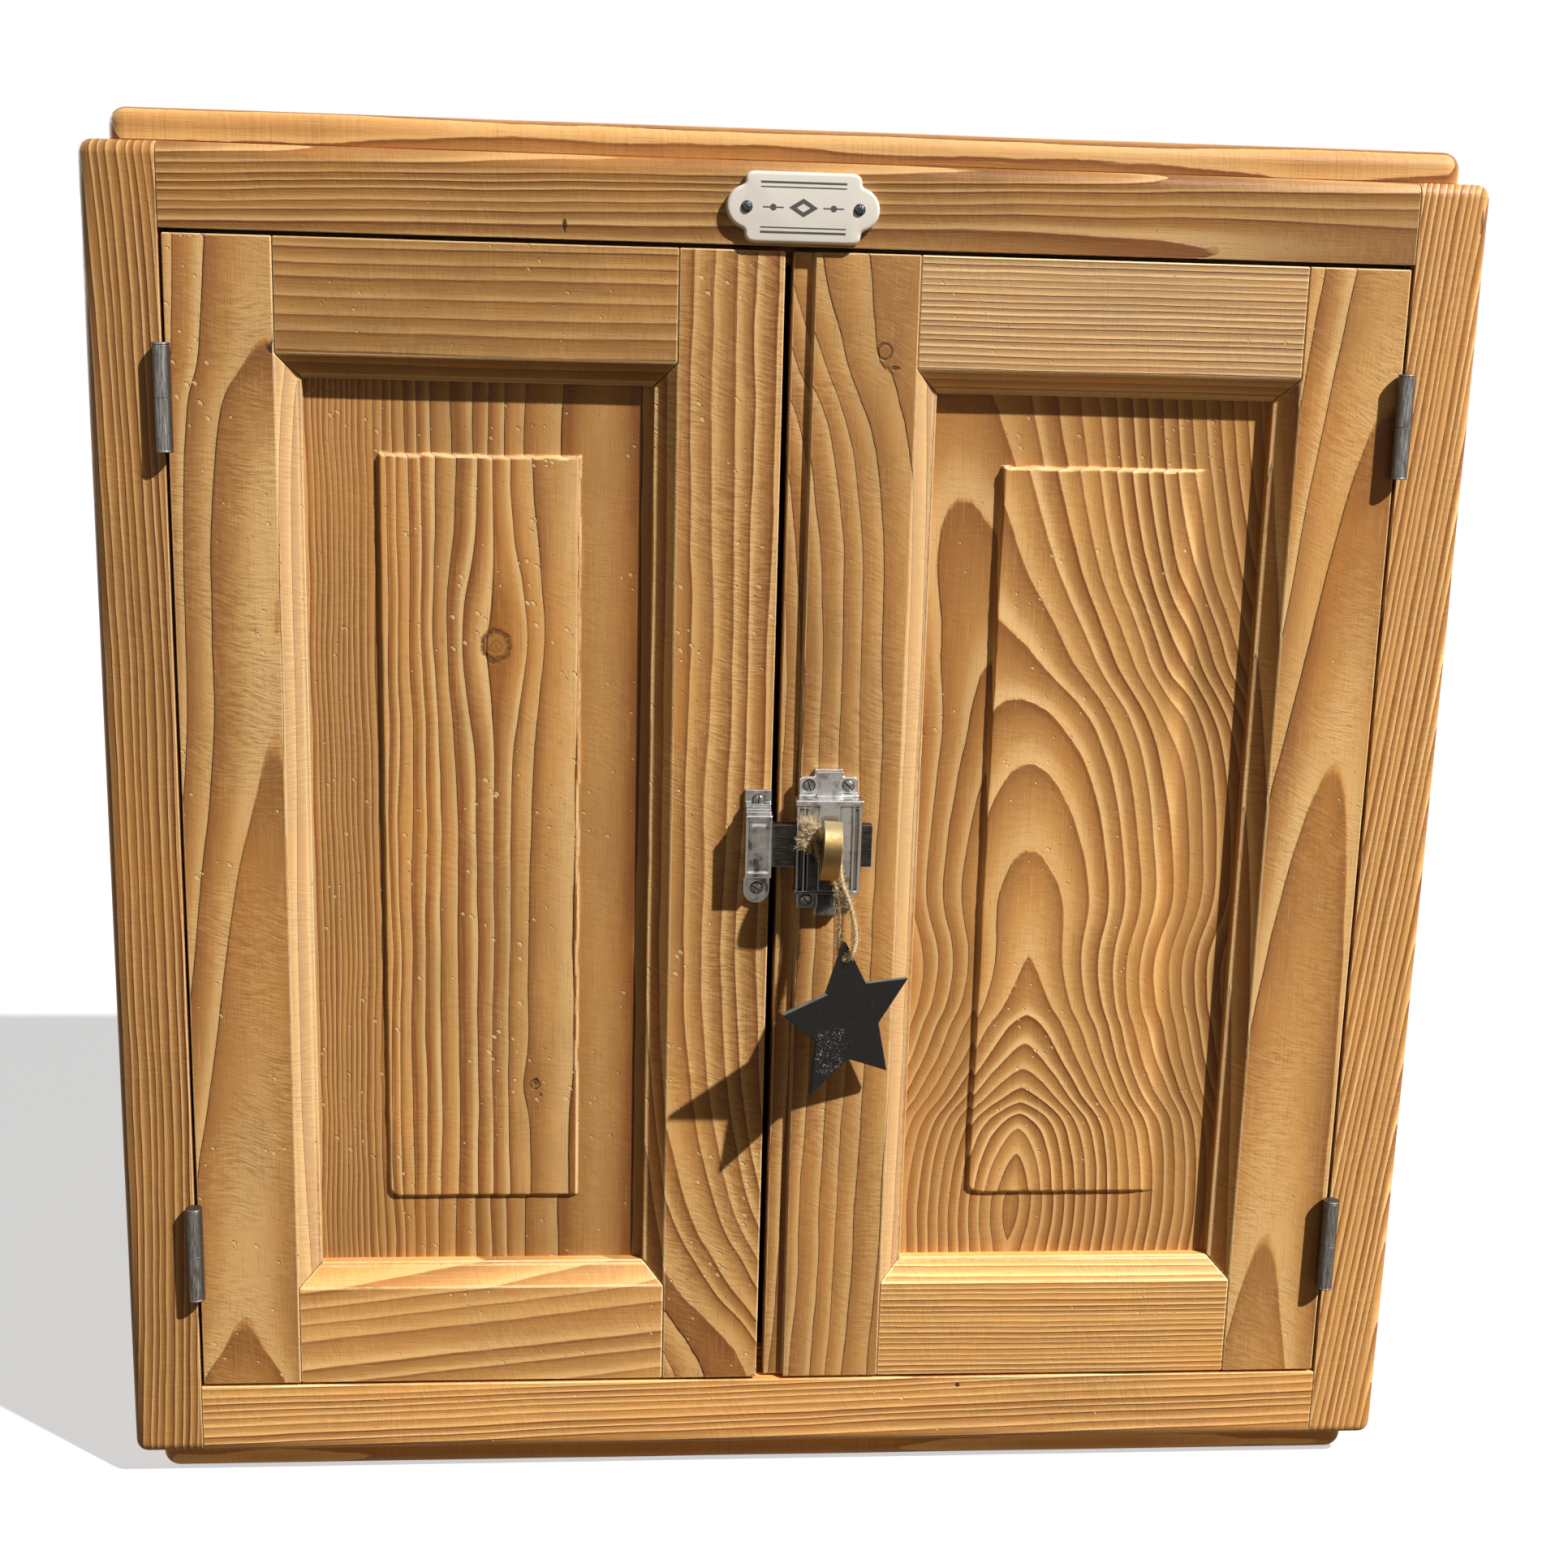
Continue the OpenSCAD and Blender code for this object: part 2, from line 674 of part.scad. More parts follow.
module left_top_rail() {
    color(pine_pale) at_door(left_x0) upended() rail(left_w, door_stile_w, door_stile_w);
}

module left_panel() {
    color(pine) at_door(left_x0) panel(left_w, door_stile_w, door_stile_w);
}

module right_hinge_stile() {
    color(pine) difference() {
        at_door(right_x0) mirrored(right_w) stile(right_w, door_stile_w, door_stile_w, meeting_w);
        hinge_mortises(1, -1);
        hinge_screw_holes(1, -1);
    }
}

module right_meeting_stile() {
    color(pine) difference() {
        at_door(right_x0) difference() {
            stile(right_w, meeting_w, meeting_w, door_stile_w);
            block([-1, -1, -1], [rebate_w, rebate_depth, door_h + 1]);
        }
        latch_holes();
    }
}

module right_bottom_rail() {
    color(pine_pale) at_door(right_x0) rail(right_w, meeting_w, door_stile_w);
}

module right_top_rail() {
    color(pine_pale) at_door(right_x0) upended() rail(right_w, meeting_w, door_stile_w);
}

module right_panel() {
    color(pine) at_door(right_x0) panel(right_w, meeting_w, door_stile_w);
}

keeper_z0 = latch_z - keeper_drop - keeper_h / 2;
keeper_z1 = latch_z - keeper_drop + keeper_h / 2;
keeper_screw_z = [(keeper_z1 + latch_z + keeper_box_h / 2) / 2,
    (keeper_z0 + latch_z - keeper_box_h / 2) / 2];
keeper_x = (keeper_x0 + keeper_x1) / 2;
keeper_head_r = 3;

module keeper_holes() {
    for (z = keeper_screw_z)
        stud(keeper_x, z, small_shank_r + pin_gap, -small_screw_len, keeper_foot_t + 1);
}

// The keeper's box is open towards the bolt and has a sunk front
module keeper() {
    z = latch_z;
    mouth_half = bolt_h / 2 + 2 * run_gap;
    mouth_out = channel_out + run_gap;
    sunk = 0.6;
    color(zinc) difference() {
        union() {
            block([keeper_x0, front_y - keeper_foot_t, keeper_z0 + keeper_w / 2],
                [keeper_x1, front_y, keeper_z1]);
            stud(keeper_x, keeper_z0 + keeper_w / 2, keeper_w / 2, 0, keeper_foot_t);
            block([keeper_x0, front_y - keeper_out, z - keeper_box_h / 2],
                [keeper_x1, front_y, z + keeper_box_h / 2]);
        }
        block([keeper_x0 + keeper_wall, front_y - mouth_out, z - mouth_half],
            [keeper_x1 + 1, front_y - keeper_foot_t, z + mouth_half]);
        block([keeper_x0 + keeper_wall, front_y - keeper_out - 1, z - keeper_box_h / 2 + 3],
            [keeper_x1 - keeper_wall, front_y - keeper_out + sunk, z + keeper_box_h / 2 - 3]);
        keeper_holes();
    }
}

module keeper_screws() {
    color(iron) for (z = keeper_screw_z)
        round_screw(keeper_x, z, small_shank_r, keeper_head_r, small_head_h, keeper_foot_t);
}

module latch_screw_places() {
    for (side = [-1, 1])
        for (up = [-1, 1])
            translate([side * latch_screw_gap / 2, 0, up * latch_screw_z]) children();
}

module latch_holes() {
    latch_screw_places() stud(latch_x, latch_z, small_shank_r + pin_gap, -small_screw_len, foot_t + 1);
    stud(latch_x, latch_z, journal_r + pin_gap, -3, foot_t + 1);
}

module latch_foot_plate() {
    color(zinc) difference() {
        block([latch_x - foot_w / 2, front_y - foot_t, latch_z - foot_h / 2],
            [latch_x + foot_w / 2, front_y, latch_z + foot_h / 2]);
        latch_holes();
    }
}

// The case straddles the bolt's channel; its band runs on as a low block over the plate's ears
module latch_case() {
    face = case_out - band_out;
    step = 2;
    color(zinc) difference() {
        union() {
            block([latch_x - case_box_w / 2, front_y - face + step, latch_z - case_box_h / 2],
                [latch_x + case_box_w / 2, front_y - foot_t, latch_z + case_box_h / 2]);
            block([latch_x - case_box_w / 2 + step, front_y - face, latch_z - case_box_h / 2],
                [latch_x + case_box_w / 2 - step, front_y - foot_t, latch_z + case_box_h / 2]);
            block([latch_x - band_w / 2, front_y - case_out, latch_z - case_box_h / 2],
                [latch_x + band_w / 2, front_y - foot_t, latch_z + case_box_h / 2]);
            block([latch_x - case_box_w / 2, front_y - case_out, latch_z + case_box_h / 2 - bead_h],
                [latch_x + case_box_w / 2, front_y - foot_t, latch_z + case_box_h / 2]);
            intersection() {
                block([latch_x - band_w / 2, front_y - case_out, latch_z - foot_h / 2],
                    [latch_x + band_w / 2, front_y - foot_t, latch_z + foot_h / 2]);
                translate([latch_x - band_w / 2, front_y - foot_t + 1, latch_z]) rotate([0, 90, 0])
                    scale([foot_h / 2, foot_h / 2, 1]) cylinder(r = 1, h = band_w, $fn = 96);
                block([latch_x - band_w / 2, front_y - foot_t - 5, latch_z - foot_h / 2],
                    [latch_x + band_w / 2, front_y - foot_t, latch_z + foot_h / 2]);
            }
        }
        block([latch_x - case_box_w, front_y - channel_out, latch_z - bolt_h / 2 - run_gap],
            [latch_x + case_box_w, front_y - foot_t + 1, latch_z + bolt_h / 2 + run_gap]);
        stud(latch_x, latch_z, neck_r + pin_gap, 0, case_out + 1);
    }
}

module latch_screws() {
    color(iron) latch_screw_places()
        round_screw(latch_x, latch_z, small_shank_r, small_head_r, small_head_h, foot_t);
}

// Tooth flank of the wheel: the involute's polar angle, in degrees, at radius r
base_r = wheel_r * cos(pressure_angle);
function involute_deg(r) = r <= base_r ? 0 :
    sqrt(r * r / (base_r * base_r) - 1) * 180 / PI - acos(base_r / r);
half_tooth_deg = 90 / wheel_teeth - (backlash / 2) / wheel_r * 90 / PI + involute_deg(wheel_r);
flank_steps = 6;
flank = [for (i = [0:flank_steps]) let (r = base_r + (wheel_tip_r - base_r) * i / flank_steps)
    [r, half_tooth_deg - involute_deg(r)]];
function polar(r, a) = [r * cos(a), r * sin(a)];
// The wheel's teeth point up at rest, towards the bolt's rack
wheel_outline = [for (k = [0:wheel_teeth - 1]) let (mid = 90 + k * 360 / wheel_teeth)
    each concat([polar(wheel_root_r, mid - half_tooth_deg - 1)],
        [for (p = flank) polar(p[0], mid - p[1])],
        [for (i = [flank_steps:-1:0]) polar(flank[i][0], mid + flank[i][1])],
        [polar(wheel_root_r, mid + half_tooth_deg + 1)])];

module turn_wheel() {
    color(iron) translate([latch_x, front_y - wheel_back, latch_z]) rotate([90, 0, 0]) difference() {
        linear_extrude(height = wheel_t) polygon(wheel_outline);
        translate([-square_w / 2, -square_w / 2, -1]) cube([square_w, square_w, wheel_t + 2]);
    }
}

// Window in the bolt round the wheel, with the rack along its upper edge
window_half = bolt_travel + wheel_tip_r + 1;
rack_teeth = ceil((bolt_travel + wheel_tip_r) / tooth_pitch);
rack_half_top = tooth_pitch / 4 - backlash / 4 - rack_tip * tan(pressure_angle);
rack_half_root = tooth_pitch / 4 - backlash / 4 + rack_root * tan(pressure_angle);

module rack_tooth(x) {
    polygon([[x - rack_half_root, wheel_r + rack_root + 0.5], [x - rack_half_root, wheel_r + rack_root],
        [x - rack_half_top, wheel_r - rack_tip], [x + rack_half_top, wheel_r - rack_tip],
        [x + rack_half_root, wheel_r + rack_root], [x + rack_half_root, wheel_r + rack_root + 0.5]]);
}

module bolt() {
    color(zinc) translate([latch_x, front_y - bolt_back, latch_z]) rotate([90, 0, 0])
        linear_extrude(height = bolt_t) {
            difference() {
                translate([bolt_clear_x - latch_x, -bolt_h / 2]) square([bolt_x1 - bolt_clear_x, bolt_h]);
                translate([-window_half, -wheel_tip_r - run_gap])
                    square([2 * window_half, wheel_tip_r + run_gap + wheel_r + rack_root]);
            }
            for (k = [-rack_teeth:rack_teeth - 1]) rack_tooth((k + 0.5) * tooth_pitch);
        }
}

// Brass piece: half-round tab, round neck, square spindle and a small journal in the door
module thumb_turn() {
    edge_r = (tab_h * tab_h / 4 + (tab_out - tab_back) * (tab_out - tab_back)) / (2 * (tab_out - tab_back));
    color(brass) {
        translate([latch_x, 0, latch_z]) rotate([0, tab_lean, 0]) intersection() {
            translate([-tab_w / 2, front_y - tab_out + edge_r, 0]) rotate([0, 90, 0])
                cylinder(r = edge_r, h = tab_w, $fn = 96);
            block([-tab_w / 2, front_y - tab_out - 1, -tab_h], [tab_w / 2, front_y - tab_back, tab_h]);
        }
        stud(latch_x, latch_z, neck_r, channel_out - run_gap, tab_back + 1);
        block([latch_x - square_w / 2, front_y - channel_out, latch_z - square_w / 2],
            [latch_x + square_w / 2, front_y - wheel_back + 0.5, latch_z + square_w / 2]);
        stud(latch_x, latch_z, journal_r, -2, wheel_back);
    }
}

// Tag pieces stand in the door's space from the neck's middle
function from_neck(p) = [latch_x + p[0], front_y - p[1], latch_z + p[2]];

function unit(v) = v / norm(v);
twine_points = [for (p = twine_route) from_neck(p)];
twine_last = len(twine_points) - 1;
function heading(i) = unit(twine_points[min(i + 1, twine_last)] - twine_points[max(i - 1, 0)]);
// Each ring's first side is carried on from the ring before, so the tube doesn't twist
function carried(side, way) = unit(side - (side * way) * way);
function frames(i, side) = i > twine_last ? [] :
    let (s = carried(side, heading(i))) concat([s], frames(i + 1, s));
twine_frames = frames(0, [0, 1, 0]);
twine_rings = [for (i = [0:twine_last]) let (s = twine_frames[i], t = cross(heading(i), s))
    for (k = [0:twine_sides - 1]) let (a = 360 * k / twine_sides)
        twine_points[i] + twine_r * (cos(a) * s + sin(a) * t)];

module twine() {
    n = twine_sides;
    faces = concat([[for (k = [0:n - 1]) k]], [[for (k = [n - 1:-1:0]) twine_last * n + k]],
        [for (i = [0:twine_last - 1]) for (k = [0:n - 1]) let (j = (k + 1) % n)
            each [[i * n + k, (i + 1) * n + k, i * n + j], [i * n + j, (i + 1) * n + k, (i + 1) * n + j]]]);
    color(jute) polyhedron(points = twine_rings, faces = faces, convexity = 6);
}

module twine_knot() {
    color(jute) translate(from_neck(knot_place)) sphere(r = knot_r);
}

hole_out = star_r * 0.79;

module star_tag() {
    color(slate) translate(from_neck(star_middle)) rotate([0, 0, star_turn]) rotate([90, -star_lean, 0])
        translate([0, 0, -star_t / 2]) difference() {
            linear_extrude(height = star_t)
                polygon([for (k = [0:9]) polar(k % 2 == 0 ? star_r : star_inner_r, 90 + 36 * k)]);
            translate([0, hole_out, -1]) cylinder(r = star_hole_r, h = star_t + 2);
        }
}

side_panel(-1);  // left_side_panel
side_panel(1);  // right_side_panel
capping(frame_z1, 1);  // top_board
capping(0, -1);  // base_board
back_board(-1);  // back_board_left
back_board(0);  // back_board_middle
back_board(1);  // back_board_right
shelf();
shelf_cleat(-1);  // shelf_cleat_left
shelf_cleat(1);  // shelf_cleat_right
frame_stile(-1);  // frame_stile_left
frame_stile(1);  // frame_stile_right
frame_rail(lintel_z, frame_z1);  // frame_rail_top
frame_rail(frame_z0, frame_z0);  // frame_rail_bottom
door_stop(lintel_z, 1);  // door_stop_top
door_stop(sill_z, -1);  // door_stop_bottom
name_plate();
plate_screws();
hinge_leaf(-1, 1, upper_hinge_z);  // frame_leaf_upper_left
hinge_leaf(-1, 1, lower_hinge_z);  // frame_leaf_lower_left
hinge_leaf(1, 1, upper_hinge_z);  // frame_leaf_upper_right
hinge_leaf(1, 1, lower_hinge_z);  // frame_leaf_lower_right
hinge_pin(-1, upper_hinge_z);  // hinge_pin_upper_left
hinge_pin(-1, lower_hinge_z);  // hinge_pin_lower_left
hinge_pin(1, upper_hinge_z);  // hinge_pin_upper_right
hinge_pin(1, lower_hinge_z);  // hinge_pin_lower_right
frame_hinge_screws();
left_hinge_stile();
left_meeting_stile();
left_top_rail();
left_bottom_rail();
left_panel();
hinge_leaf(-1, -1, upper_hinge_z);  // door_leaf_upper_left
hinge_leaf(-1, -1, lower_hinge_z);  // door_leaf_lower_left
door_hinge_screws(-1);  // left_hinge_screws
keeper();
keeper_screws();
right_hinge_stile();
right_meeting_stile();
right_top_rail();
right_bottom_rail();
right_panel();
hinge_leaf(1, -1, upper_hinge_z);  // door_leaf_upper_right
hinge_leaf(1, -1, lower_hinge_z);  // door_leaf_lower_right
door_hinge_screws(1);  // right_hinge_screws
latch_foot_plate();
latch_case();
latch_screws();
bolt();
thumb_turn();
turn_wheel();
twine();
twine_knot();
star_tag();
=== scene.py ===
"""A small two-door pine cupboard: waxed boards with growth rings, worn metal fittings and a tag on twine."""

import json
import math

import bmesh
import bpy
from mathutils import Matrix, Vector, noise


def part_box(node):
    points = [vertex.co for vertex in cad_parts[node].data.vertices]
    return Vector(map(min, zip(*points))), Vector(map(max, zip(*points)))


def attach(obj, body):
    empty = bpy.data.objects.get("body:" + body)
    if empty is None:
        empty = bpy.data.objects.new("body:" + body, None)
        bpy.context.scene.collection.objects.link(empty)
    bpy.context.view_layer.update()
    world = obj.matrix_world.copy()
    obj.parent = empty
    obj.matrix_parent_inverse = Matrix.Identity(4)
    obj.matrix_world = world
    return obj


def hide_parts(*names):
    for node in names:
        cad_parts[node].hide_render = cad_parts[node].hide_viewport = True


bl_info = {
    "name": "Pine cupboard",
    "version": (1, 0, 0),
    "blender": (4, 5, 0),
    "location": "View3D > Sidebar > Cupboard",
    "description": "Dresses a two-door pine cupboard with worn wood, metal fittings and a hanging tag",
    "category": "Object",
}

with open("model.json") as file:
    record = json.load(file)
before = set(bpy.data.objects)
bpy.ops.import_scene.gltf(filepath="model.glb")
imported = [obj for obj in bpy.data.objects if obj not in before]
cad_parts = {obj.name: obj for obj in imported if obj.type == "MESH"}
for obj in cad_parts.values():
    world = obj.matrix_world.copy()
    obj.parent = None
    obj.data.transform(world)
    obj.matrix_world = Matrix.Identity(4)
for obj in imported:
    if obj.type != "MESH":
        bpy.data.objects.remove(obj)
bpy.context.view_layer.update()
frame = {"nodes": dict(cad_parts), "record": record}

# Lengths below are in millimetres, and pieces are turned to metres when they are made
MM = 0.001
BODIES = frame["record"]["behaviour"]["bodies"]
BODY_OF = {node: body for body, nodes in BODIES.items() for node in nodes}


def low(node):
    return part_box(node)[0] / MM


def high(node):
    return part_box(node)[1] / MM


FRONT = low("left_hinge_stile").y
DOOR_T = high("left_hinge_stile").y - FRONT
DOOR_Z0 = low("left_hinge_stile").z
DOOR_Z1 = high("left_hinge_stile").z
# Doors: the panels' depth behind the face, and the moulding's width, depth and flat lip
PANEL_BACK = 14
BEVEL = 11.5
LIP_DEPTH = 7.8
LIP_FLAT = 1.9
# The rails' faces lie a little behind the stiles', and boards that meet end to side leave a fine gap
RAIL_SUNK = 0.25
JOINT_GAP = 0.12
RAIL_FACE = high("left_bottom_rail").z - DOOR_Z0 - BEVEL
STILE_FACE = high("left_hinge_stile").x - low("left_hinge_stile").x - BEVEL
NECK = Vector((
    (low("latch_case").x + high("latch_case").x) / 2,
    FRONT,
    (low("bolt").z + high("bolt").z) / 2,
))


def linear(code):
    """Turn a hex colour into the linear values that sockets take."""
    parts = [int(code[i:i + 2], 16) / 255 for i in (0, 2, 4)]
    return tuple(((c + 0.055) / 1.055) ** 2.4 if c > 0.04045 else c / 12.92 for c in parts)


# Settings


def colour(name, description, code):
    return bpy.props.FloatVectorProperty(
        name=name, description=description, default=linear(code), subtype="COLOR", size=3, min=0, max=1)


def number(name, description, default, **options):
    return bpy.props.FloatProperty(name=name, description=description, default=default, **options)


class WoodSettings(bpy.types.PropertyGroup):
    pale: colour("Early wood", "Sandy colour between the rings", "D09A58")
    # The newest wood's cream-gold is partly the early wood's colour and partly a painted highlight beside
    # each ring's edge
    fresh: colour("Newest wood", "Cream-gold just beyond each ring", "EFC586")
    warm: colour("Late wood", "Orange-brown colour that each ring deepens to", "8A5024")
    dark: colour("Ring edge", "Thin dark line that ends each ring", "6B3F1D")
    aged: colour("Aged wood", "Brown cast of weathered patches", "8C6535")
    ridge: number("Ridges", "Height of the hard rings over the soft wood, in millimetres", 0.42, min=0, max=1)
    dent: number("Dents", "Depth of the small dents, in millimetres", 1.0, min=0, max=1)
    arris: number(
        "Broken edges", "Width worn off the boards' edges", 0.8 * MM, unit="LENGTH", min=0, max=2 * MM)


class MetalSettings(bpy.types.PropertyGroup):
    zinc: colour("Latch", "Grey of the latch's plated metal", "DCDAD7")
    zinc_dark: colour("Latch recesses", "Dark grey in the latch's recesses", "5A5754")
    steel: colour("Hinges", "Dull brown-grey of the hinges", "5B5650")
    bright: colour("Worn edges", "Bright metal where it is rubbed", "E2DFD9")
    brass: colour("Turn", "Golden colour of the brass turn", "8F7243")
    voxel: number("Casting grain", "Step of the surface that rounds the cast pieces", 0.4 * MM, unit="LENGTH")


class PlateSettings(bpy.types.PropertyGroup):
    enamel: colour("Enamel", "Cream of the door plate", "DDD6CA")
    ink: colour("Rules", "Black of the rules and lozenge", "23211F")
    edge: number("Edge", "Radius of the plate's soft edge", 1.9 * MM, unit="LENGTH", min=0.5 * MM, max=3 * MM)


class TagSettings(bpy.types.PropertyGroup):
    star: colour("Star", "Near-black paint of the star", "0C0B09")
    chalk: colour("Scuffs", "Grey where the star's paint is scuffed", "C2BFB2")
    twine: colour("Twine", "Straw colour of the twine", "D2B685")
    pitch: number("Twist", "Length of one turn of the twine's strands", 4.6 * MM, unit="LENGTH")
    hairs: bpy.props.IntProperty(
        name="Tuft", description="Share of loose fibres on the knot", default=1700, min=0, max=2500)
    fuzz: bpy.props.IntProperty(
        name="Fuzz", description="Share of loose fibres on the twine", default=520, min=0, max=900)


class StageSettings(bpy.types.PropertyGroup):
    sun: number("Sun", "Strength of the sun lamp", 6.2, min=0, max=10)
    sun_size: number("Sun size", "Angle that softens the shadows", math.radians(1.2), unit="ROTATION")
    sky: number("Sky", "Strength of the light from all round", 0.06, min=0, max=2)
    rear: number(
        "Rear light", "Strength of the low lamp behind, which only the back and left side see", 1.5, min=0)
    floor: colour("Floor", "Pale colour of the floor", "F2F2F2")


SETTINGS = {
    "wood": WoodSettings,
    "metal": MetalSettings,
    "plate": PlateSettings,
    "tag": TagSettings,
    "stage": StageSettings,
}


def chosen(group):
    return getattr(bpy.context.scene, "cupboard_" + group)


# Node graphs


class Shade:
    """A socket of a graph. Arithmetic on it adds Math nodes."""

    def __init__(self, graph, socket):
        self.graph = graph
        self.socket = socket

    def out(self, name):
        return Shade(self.graph, self.socket.node.outputs[name])

    def math(self, operation, *values):
        return self.graph.node("ShaderNodeMath", {"operation": operation}, (self,) + values)

    def __add__(self, other):
        return self.math("ADD", other)

    def __sub__(self, other):
        return self.math("SUBTRACT", other)

    def __rsub__(self, other):
        return self.graph.node("ShaderNodeMath", {"operation": "SUBTRACT"}, (other, self))

    def __mul__(self, other):
        return self.math("MULTIPLY", other)

    def __truediv__(self, other):
        return self.math("DIVIDE", other)

    def __pow__(self, other):
        return self.math("POWER", other)

    __radd__ = __add__
    __rmul__ = __mul__

    def rise(self, start, end):
        """Go smoothly from 0 at start to 1 at end."""
        settings = {"interpolation_type": "SMOOTHSTEP"}
        return self.graph.node("ShaderNodeMapRange", settings, (self, start, end))

    def along_curve(self, points):
        """Read a height off a smooth curve through the given points."""
        x0, x1 = points[0][0], points[-1][0]
        y0 = min(p[1] for p in points)
        y1 = max(p[1] for p in points) + 1e-6
        shape = [((x - x0) / (x1 - x0), (y - y0) / (y1 - y0)) for x, y in points]
        place = (self - x0) / (x1 - x0)
        height = self.graph.node("ShaderNodeFloatCurve", {"points": shape}, {"Value": place})
        return height * (y1 - y0) + y0


class Graph:
    """A node tree while it is being laid out."""

    def __init__(self, tree):
        self.tree = tree

    def node(self, kind, settings=None, values=(), out=0):
        """Add a node: its settings come first, then the values or links of its sockets."""
        new = self.tree.nodes.new(kind)
        for key, value in (settings or {}).items():
            if key == "points":
                curve = new.mapping.curves[0]
                for place, height in value[1:-1]:
                    curve.points.new(place, height)
                curve.points[0].location = value[0]
                curve.points[-1].location = value[-1]
                new.mapping.update()
            else:
                setattr(new, key, value)
        pairs = values.items() if isinstance(values, dict) else enumerate(values)
        for key, value in pairs:
            if isinstance(value, Shade):
                self.tree.links.new(value.socket, new.inputs[key])
            elif value is not None:
                new.inputs[key].default_value = value
        return Shade(self, new.outputs[out]) if new.outputs else None


class Finish(Graph):
    """A material's graph, with the nodes that most finishes share."""

    def __init__(self, name):
        self.material = bpy.data.materials.new(name)
        self.material.use_nodes = True
        super().__init__(self.material.node_tree)
        self.tree.nodes.clear()

    def place(self):
        """Give the three coordinates of a point on the piece, in millimetres."""
        point = self.node("ShaderNodeTexCoord", out="Object")
        split = self.node("ShaderNodeSeparateXYZ", None, (point,))
        return {axis: split.out(axis) * 1000 for axis in "XYZ"}

    def vector(self, x, y, z):
        return self.node("ShaderNodeCombineXYZ", None, (x, y, z))

    def noise(self, vector, scale=1.0, detail=2.0, rough=0.5):
        """Give noise about 0, mostly between -0.5 and 0.5."""
        values = {"Vector": vector, "Scale": scale, "Detail": detail, "Roughness": rough}
        return self.node("ShaderNodeTexNoise", None, values) - 0.5

    def spots(self, vector):
        """Give the distance to the nearest of many scattered spots, about one to each unit square."""
        values = {"Vector": vector, "Scale": 1.0}
        return self.node("ShaderNodeTexVoronoi", {"voronoi_dimensions": "2D"}, values, "Distance")

    def chance(self, value):
        return self.node("ShaderNodeTexWhiteNoise", {"noise_dimensions": "1D"}, {"W": value}, "Value")

    def mix(self, share, first, second, way="MIX"):
        """Mix two colours by a share, which stays between 0 and 1."""
        settings = {"data_type": "RGBA", "blend_type": way, "clamp_factor": True}
        first, second = (c if isinstance(c, Shade) else (*c, 1.0) for c in (first, second))
        return self.node("ShaderNodeMix", settings, {0: share, 6: first, 7: second}, 2)

    def bump(self, height, strength=1.0):
        """Turn a height in millimetres into a normal."""
        return self.node("ShaderNodeBump", None, {"Height": height, "Distance": MM, "Strength": strength})

    def surface(self, **sockets):
        """Close the material. Each name is a socket's, with _ for a space."""
        names = {key.replace("_", " "): value for key, value in sockets.items()}
        shader = self.node("ShaderNodeBsdfPrincipled", None, names)
        self.node("ShaderNodeOutputMaterial", None, {"Surface": shader})
        self.tree.nodes[-1].is_active_output = True
        return self.material


# Wood


